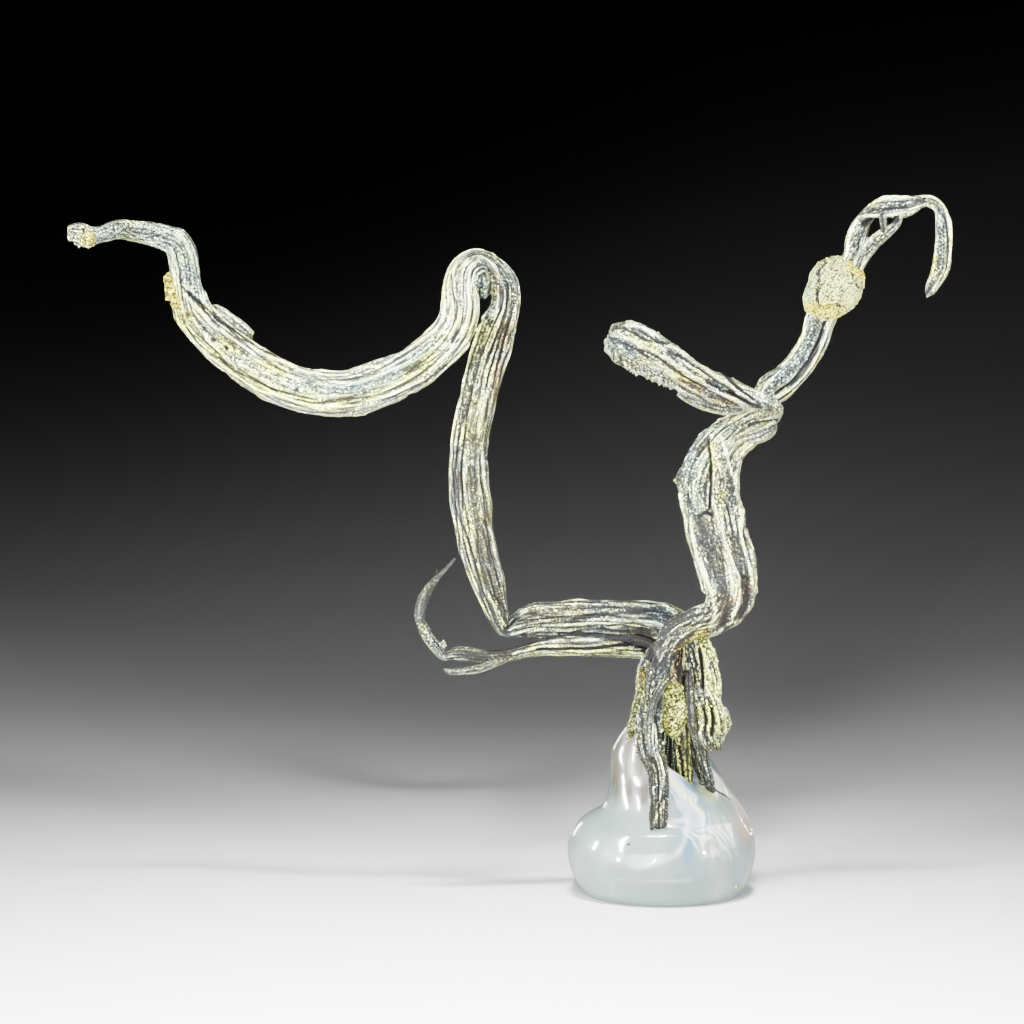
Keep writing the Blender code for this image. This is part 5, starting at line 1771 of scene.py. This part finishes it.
@dataclass
class GlueBase(Branch):
    """The drop of glue that holds the roots, with the hair, speck and crumb that stick to it."""

    glue: Material
    foot: Point = (4.9, 4.5)  # half of its width and of its depth
    bulge: Point = (5.95, 5.2)
    top: float = 10.0
    rim_drop: tuple[Point, ...] = (  # how low the rim is at an angle in degrees, as a share of the collar
        (-180, 0.0),
        (-130, 0.02),
        (-105, 0.12),
        (-84, 0.34),
        (-58, 0.46),
        (-42, 0.56),
        (-30, 0.59),
        (-12, 0.45),
        (8, 0.18),
        (30, 0.02),
        (180, 0.0),
    )
    shoulder: float = 5.0  # height from which the rim's drop takes hold
    film: float = 205.0  # where a film of glue climbs the left root, in degrees
    film_height: float = 0.75
    set_back: float = 0.34  # depth of the step above the crest
    waves: float = 0.09  # by how much its flank wanders in and out
    columns: int = 220

    def levels(self) -> Array:
        """Lists how far the drop reaches at each height.

        Returns:
            Rows of (height, left, right, front, back), from the foot to the collar's rim.
        """
        foot_x, foot_y = self.foot
        bulge_x, bulge_y = self.bulge
        return np.array(
            [
                (0.0, foot_x, foot_x, foot_y, foot_y),
                (0.3, foot_x + 0.3, foot_x + 0.15, foot_y + 0.3, foot_y + 0.3),
                (1.0, bulge_x - 0.35, bulge_x - 0.5, bulge_y - 0.2, bulge_y - 0.2),
                (2.2, bulge_x + 0.1, bulge_x - 0.2, bulge_y, bulge_y),
                (3.4, bulge_x, bulge_x - 0.25, bulge_y - 0.1, bulge_y - 0.1),
                (4.4, bulge_x - 0.5, bulge_x - 0.5, bulge_y - 0.4, bulge_y - 0.4),
                (5.0, 4.7, 5.2, bulge_y - 0.8, bulge_y - 0.7),
                (5.6, 3.8, 4.95, bulge_y - 1.2, bulge_y - 1.1),
                (6.4, 3.55, 4.5, 3.6, 3.7),
                (7.4, 3.45, 3.95, 3.1, 3.3),
                (8.4, 3.35, 3.4, 2.7, 2.9),
                (9.2, 3.1, 2.7, 2.4, 2.6),
                (self.top, 2.45, 2.2, 2.1, 2.3),
            ]
        )

    def places(self) -> Array:
        """Lays out the foot, the flank, the rim and the dish between the roots.

        Returns:
            Rows by columns of (x, y, z) in millimetres.
        """
        rows = catmull_rom(self.levels(), 9)
        rim = rows[-1]
        inner = [
            (rim[0] + 0.08, *(rim[1:] - 0.14)),
            (rim[0] + 0.02, *(rim[1:] - 0.34)),
            (rim[0] - 0.35, *(rim[1:] - 0.6)),
            *((rim[0] - depth, *(rim[1:] * share)) for depth, share in ((1.2, 0.45), (2.0, 0.2), (2.2, 0.0))),
        ]
        foot = [(0.0, *(rows[0, 1:] * share)) for share in (0.0, 0.5, 0.9)]
        rows = np.vstack([foot, rows, inner])
        angle = np.linspace(0, 2 * math.pi, self.columns + 1)
        cos, sin = np.cos(angle), np.sin(angle)
        across = np.where(cos > 0, rows[:, 2:3], rows[:, 1:2]) * cos
        deep = np.where(sin > 0, rows[:, 4:5], rows[:, 3:4]) * sin
        turn = np.linspace(-180, 180, 361)
        drop = np.interp(turn, *np.array(self.rim_drop).T)
        drop = np.convolve(np.pad(drop, 6, mode="wrap"), np.full(13, 1 / 13), mode="valid")
        drop = np.interp(self.turned(angle, 0.0), turn, drop)
        height = rows[:, :1] - np.maximum(0.0, rows[:, :1] - self.shoulder) * drop
        climb = np.exp(-((self.turned(angle, self.film) / 38) ** 2))
        height = height + self.film_height * climb * np.clip((rows[:, :1] - 7.5) / 2.5, 0, 1)
        places = np.stack([across, deep, height], axis=-1)
        return places - unit(places * (1, 1, 0)) * self.step(places)[..., None]

    def turned(self, angle: Array, middle: float) -> Array:
        """How far each angle lies from the middle one, in degrees from -180 to 180."""
        return (np.degrees(angle) - middle + 180) % 360 - 180

    def step(self, places: Array) -> Array:
        """Works out how far the surface is set back above the crest on the right.

        Args:
            places: (x, y, z) along the last axis.

        Returns:
            Millimetres.
        """
        crest = np.interp(places[..., 0], *np.array(GLUE_CREST).T)
        above = np.clip((places[..., 2] - crest) / 0.16, 0, 1)
        ends = np.clip((places[..., 0] - 2.0) / 0.5, 0, 1) * np.clip(-places[..., 1] / 0.8, 0, 1)
        return self.set_back * above * above * (3 - 2 * above) * ends

    def build(self) -> None:
        """Makes and dresses the drop."""
        places = self.places()
        wave = Noise(61).smooth(places / 1.6)
        lift = np.clip(places[..., 2:] / 1.5, 0, 1)
        sideways = unit(places * (1, 1, 0))
        places = places + sideways * self.waves * wave[..., None] * lift
        facing = np.broadcast_to(-unit(places * (1, 1, 0))[..., 1], places.shape[:2])
        # Masks of the clouds and of the painted reflections and highlights.
        masks = {milk_and_reflection.value: np.zeros(places.shape[:2]) for milk_and_reflection in MilkAndReflection}
        for milk_and_reflection, reach, line in GLUE_MARKS:
            masks[milk_and_reflection.value] = np.maximum(masks[milk_and_reflection.value], Mark(line, reach).share(places, facing))
        piece = rolled_sheet("glue_drop", keep_in_box(places), masks)
        finish_piece(piece, self.glue, "glue_base")
        self.add(
            Wire(
                "glue_hair", GLUE_HAIR, 65, pitch=0.1, hair=0.1, rib=0.1, wavy=0.0, gutters=0.0, ragged=0.0,
                spacing=0.05, column=0.03, pale=(-0.3, -0.3),
            ),
            Lump(
                "glue_speck", (-2.32, -4.54, 3.99), (0.09, 0.05, 0.07), 66, detail=3, grain=0.0, pale=-0.5
            ),
            Lump(
                "glue_crumb", (4.5, -3.0, 1.0), (0.16, 0.14, 0.13), 67,
                detail=4, grain=0.05, pale=0.3, slot=Slot.GRANULAR,
            ),
        )


@dataclass(frozen=True)
class Lamp:
    """A soft box."""

    name: str
    place: Triple  # its middle, in millimetres
    aim: Triple  # the point that it faces
    size: Point
    power: float  # watts
    spread: float  # angle of the beam, in degrees
    gloss_only: bool = False  # whether it shows in glossy surfaces and lights no others

    def build(self) -> None:
        """Hangs the soft box."""
        data = bpy.data.lights.new(self.name, "AREA")
        data.shape = "RECTANGLE"
        data.size, data.size_y = self.size[0] * MM, self.size[1] * MM
        data.energy = self.power
        data.spread = math.radians(self.spread)
        lamp = bpy.data.objects.new(self.name, data)
        bpy.context.scene.collection.objects.link(lamp)
        start, end = np.array(self.place) * MM, np.array(self.aim) * MM
        lamp.location = start
        lamp.rotation_euler = Vector(end - start).to_track_quat("-Z", "Y").to_euler()
        lamp.visible_diffuse = not self.gloss_only


LAMPS: tuple[Lamp, ...] = (
    Lamp("top_box", (-10, -70, 300), (-10, -75, 0), (70, 60), 0.55, 32),
    Lamp("key_box", (-40, -250, 250), (-8, -20, 15), (120, 30), 0.02, 12),
    Lamp("fill_box", (0, 0, 150), (0, 0, 0), (100, 60), 0.045, 180),
    Lamp("left_strip", (-250, -180, 45), (-10, 0, 38), (16, 50), 0.075, 16),
    Lamp("front_strip", (-60, -300, 30), (-8, 0, 38), (90, 16), 0.03, 16),
    Lamp("right_window", (230, -190, 50), (-5, 0, 36), (40, 30), 0.028, 16),
    Lamp("tall_window", (-250, -10, 58), (-2.6, -2, 7), (40, 75), 0.18, 60, gloss_only=True),
    Lamp("corner_window", (-190, -150, 120), (-1.8, -3, 7), (30, 90), 0.18, 60, gloss_only=True),
    Lamp("left_rim", (-85, 180, 25), (0, 0, 4), (10, 50), 0.012, 60, gloss_only=True),
    Lamp("right_rim", (95, 175, 5), (0, 0, 3), (10, 30), 0.008, 60, gloss_only=True),
    Lamp("front_window", (-45, -190, 28), (-2, -4, 3), (200, 60), 0.16, 60, gloss_only=True),
)


@dataclass
class Studio:
    """The floor, the lamps and the camera."""

    pixel: float = 16.0  # pixels to a millimetre at the object's middle
    axis_pixel: Point = (665.0, 906.0)  # where the middle of the foot's front edge falls
    elevation: float = 8.0
    lens: float = 180.0
    sensor: float = 36.0
    picture: float = 1024.0  # pixels along a side
    foot_front: float = 4.6  # from the object's middle to the foot's front edge
    curtain: int = 6  # narrow soft boxes side by side
    curtain_start: float = 40.0  # degrees from -Y to the right
    curtain_step: float = 12.0
    curtain_reach: float = 160.0

    def build_floor(self) -> None:
        """Lays the floor."""
        deselect_all()
        bpy.ops.mesh.primitive_grid_add(x_subdivisions=8, y_subdivisions=8, size=16.0)
        floor = bpy.context.object
        floor.name = "floor"
        floor.data.materials.append(FloorFinish().material())

    def build_lamps(self) -> None:
        """Hangs the soft boxes and the curtain of narrow ones, and leaves the room dark."""
        for lamp in LAMPS:
            lamp.build()
        for step in range(self.curtain):
            turn = math.radians(self.curtain_start + self.curtain_step * step)
            place = (self.curtain_reach * math.sin(turn), -self.curtain_reach * math.cos(turn), 130)
            Lamp(f"curtain_{step + 1}", place, (3, -4, 4), (16, 290), 0.2, 120, gloss_only=True).build()
        world = bpy.data.worlds.new("dark_room")
        world.use_nodes = True
        world.node_tree.nodes["Background"].inputs["Color"].default_value = (0.0, 0.0, 0.0, 1.0)
        bpy.context.scene.world = world

    def build_camera(self) -> None:
        """Sets up the camera, level and a little above the object."""
        tilt = math.radians(self.elevation)
        width = self.picture / self.pixel
        distance = self.lens / self.sensor * width
        x = (self.picture / 2 - self.axis_pixel[0]) / self.pixel
        up = (self.axis_pixel[1] - self.picture / 2) / self.pixel - self.foot_front * math.sin(tilt)
        target = np.array([x, 0.0, up / math.cos(tilt)])
        data = bpy.data.cameras.new("camera")
        data.lens, data.sensor_width, data.clip_start = self.lens, self.sensor, 0.001
        camera = bpy.data.objects.new("camera", data)
        bpy.context.scene.collection.objects.link(camera)
        camera.location = (target + distance * np.array([0.0, -math.cos(tilt), math.sin(tilt)])) * MM
        camera.rotation_euler = (math.pi / 2 - tilt, 0.0, 0.0)
        bpy.context.scene.camera = camera

    def build(self) -> None:
        """Builds all of it."""
        self.build_floor()
        self.build_lamps()
        self.build_camera()


def main() -> None:
    """Builds the object, sub-assembly by sub-assembly, and the studio round it."""
    logging.basicConfig(level=logging.INFO, format="%(message)s")
    streaks, speckle = streaks_group(), speckle_group()
    silver = SilverFinish("wire_silver").material(streaks, speckle)
    granular = SilverFinish("granular_silver", warmth=0.45, metal=0.15, brightness=0.05)
    granular = granular.material(streaks, speckle)
    for branch in (LeftArm, Spur, RightArm, Tendril, Roots):
        branch(silver, granular).build()
    GlueBase(silver, granular, GlueFinish().material()).build()
    Studio().build()


if __name__ == "__main__":
    main()
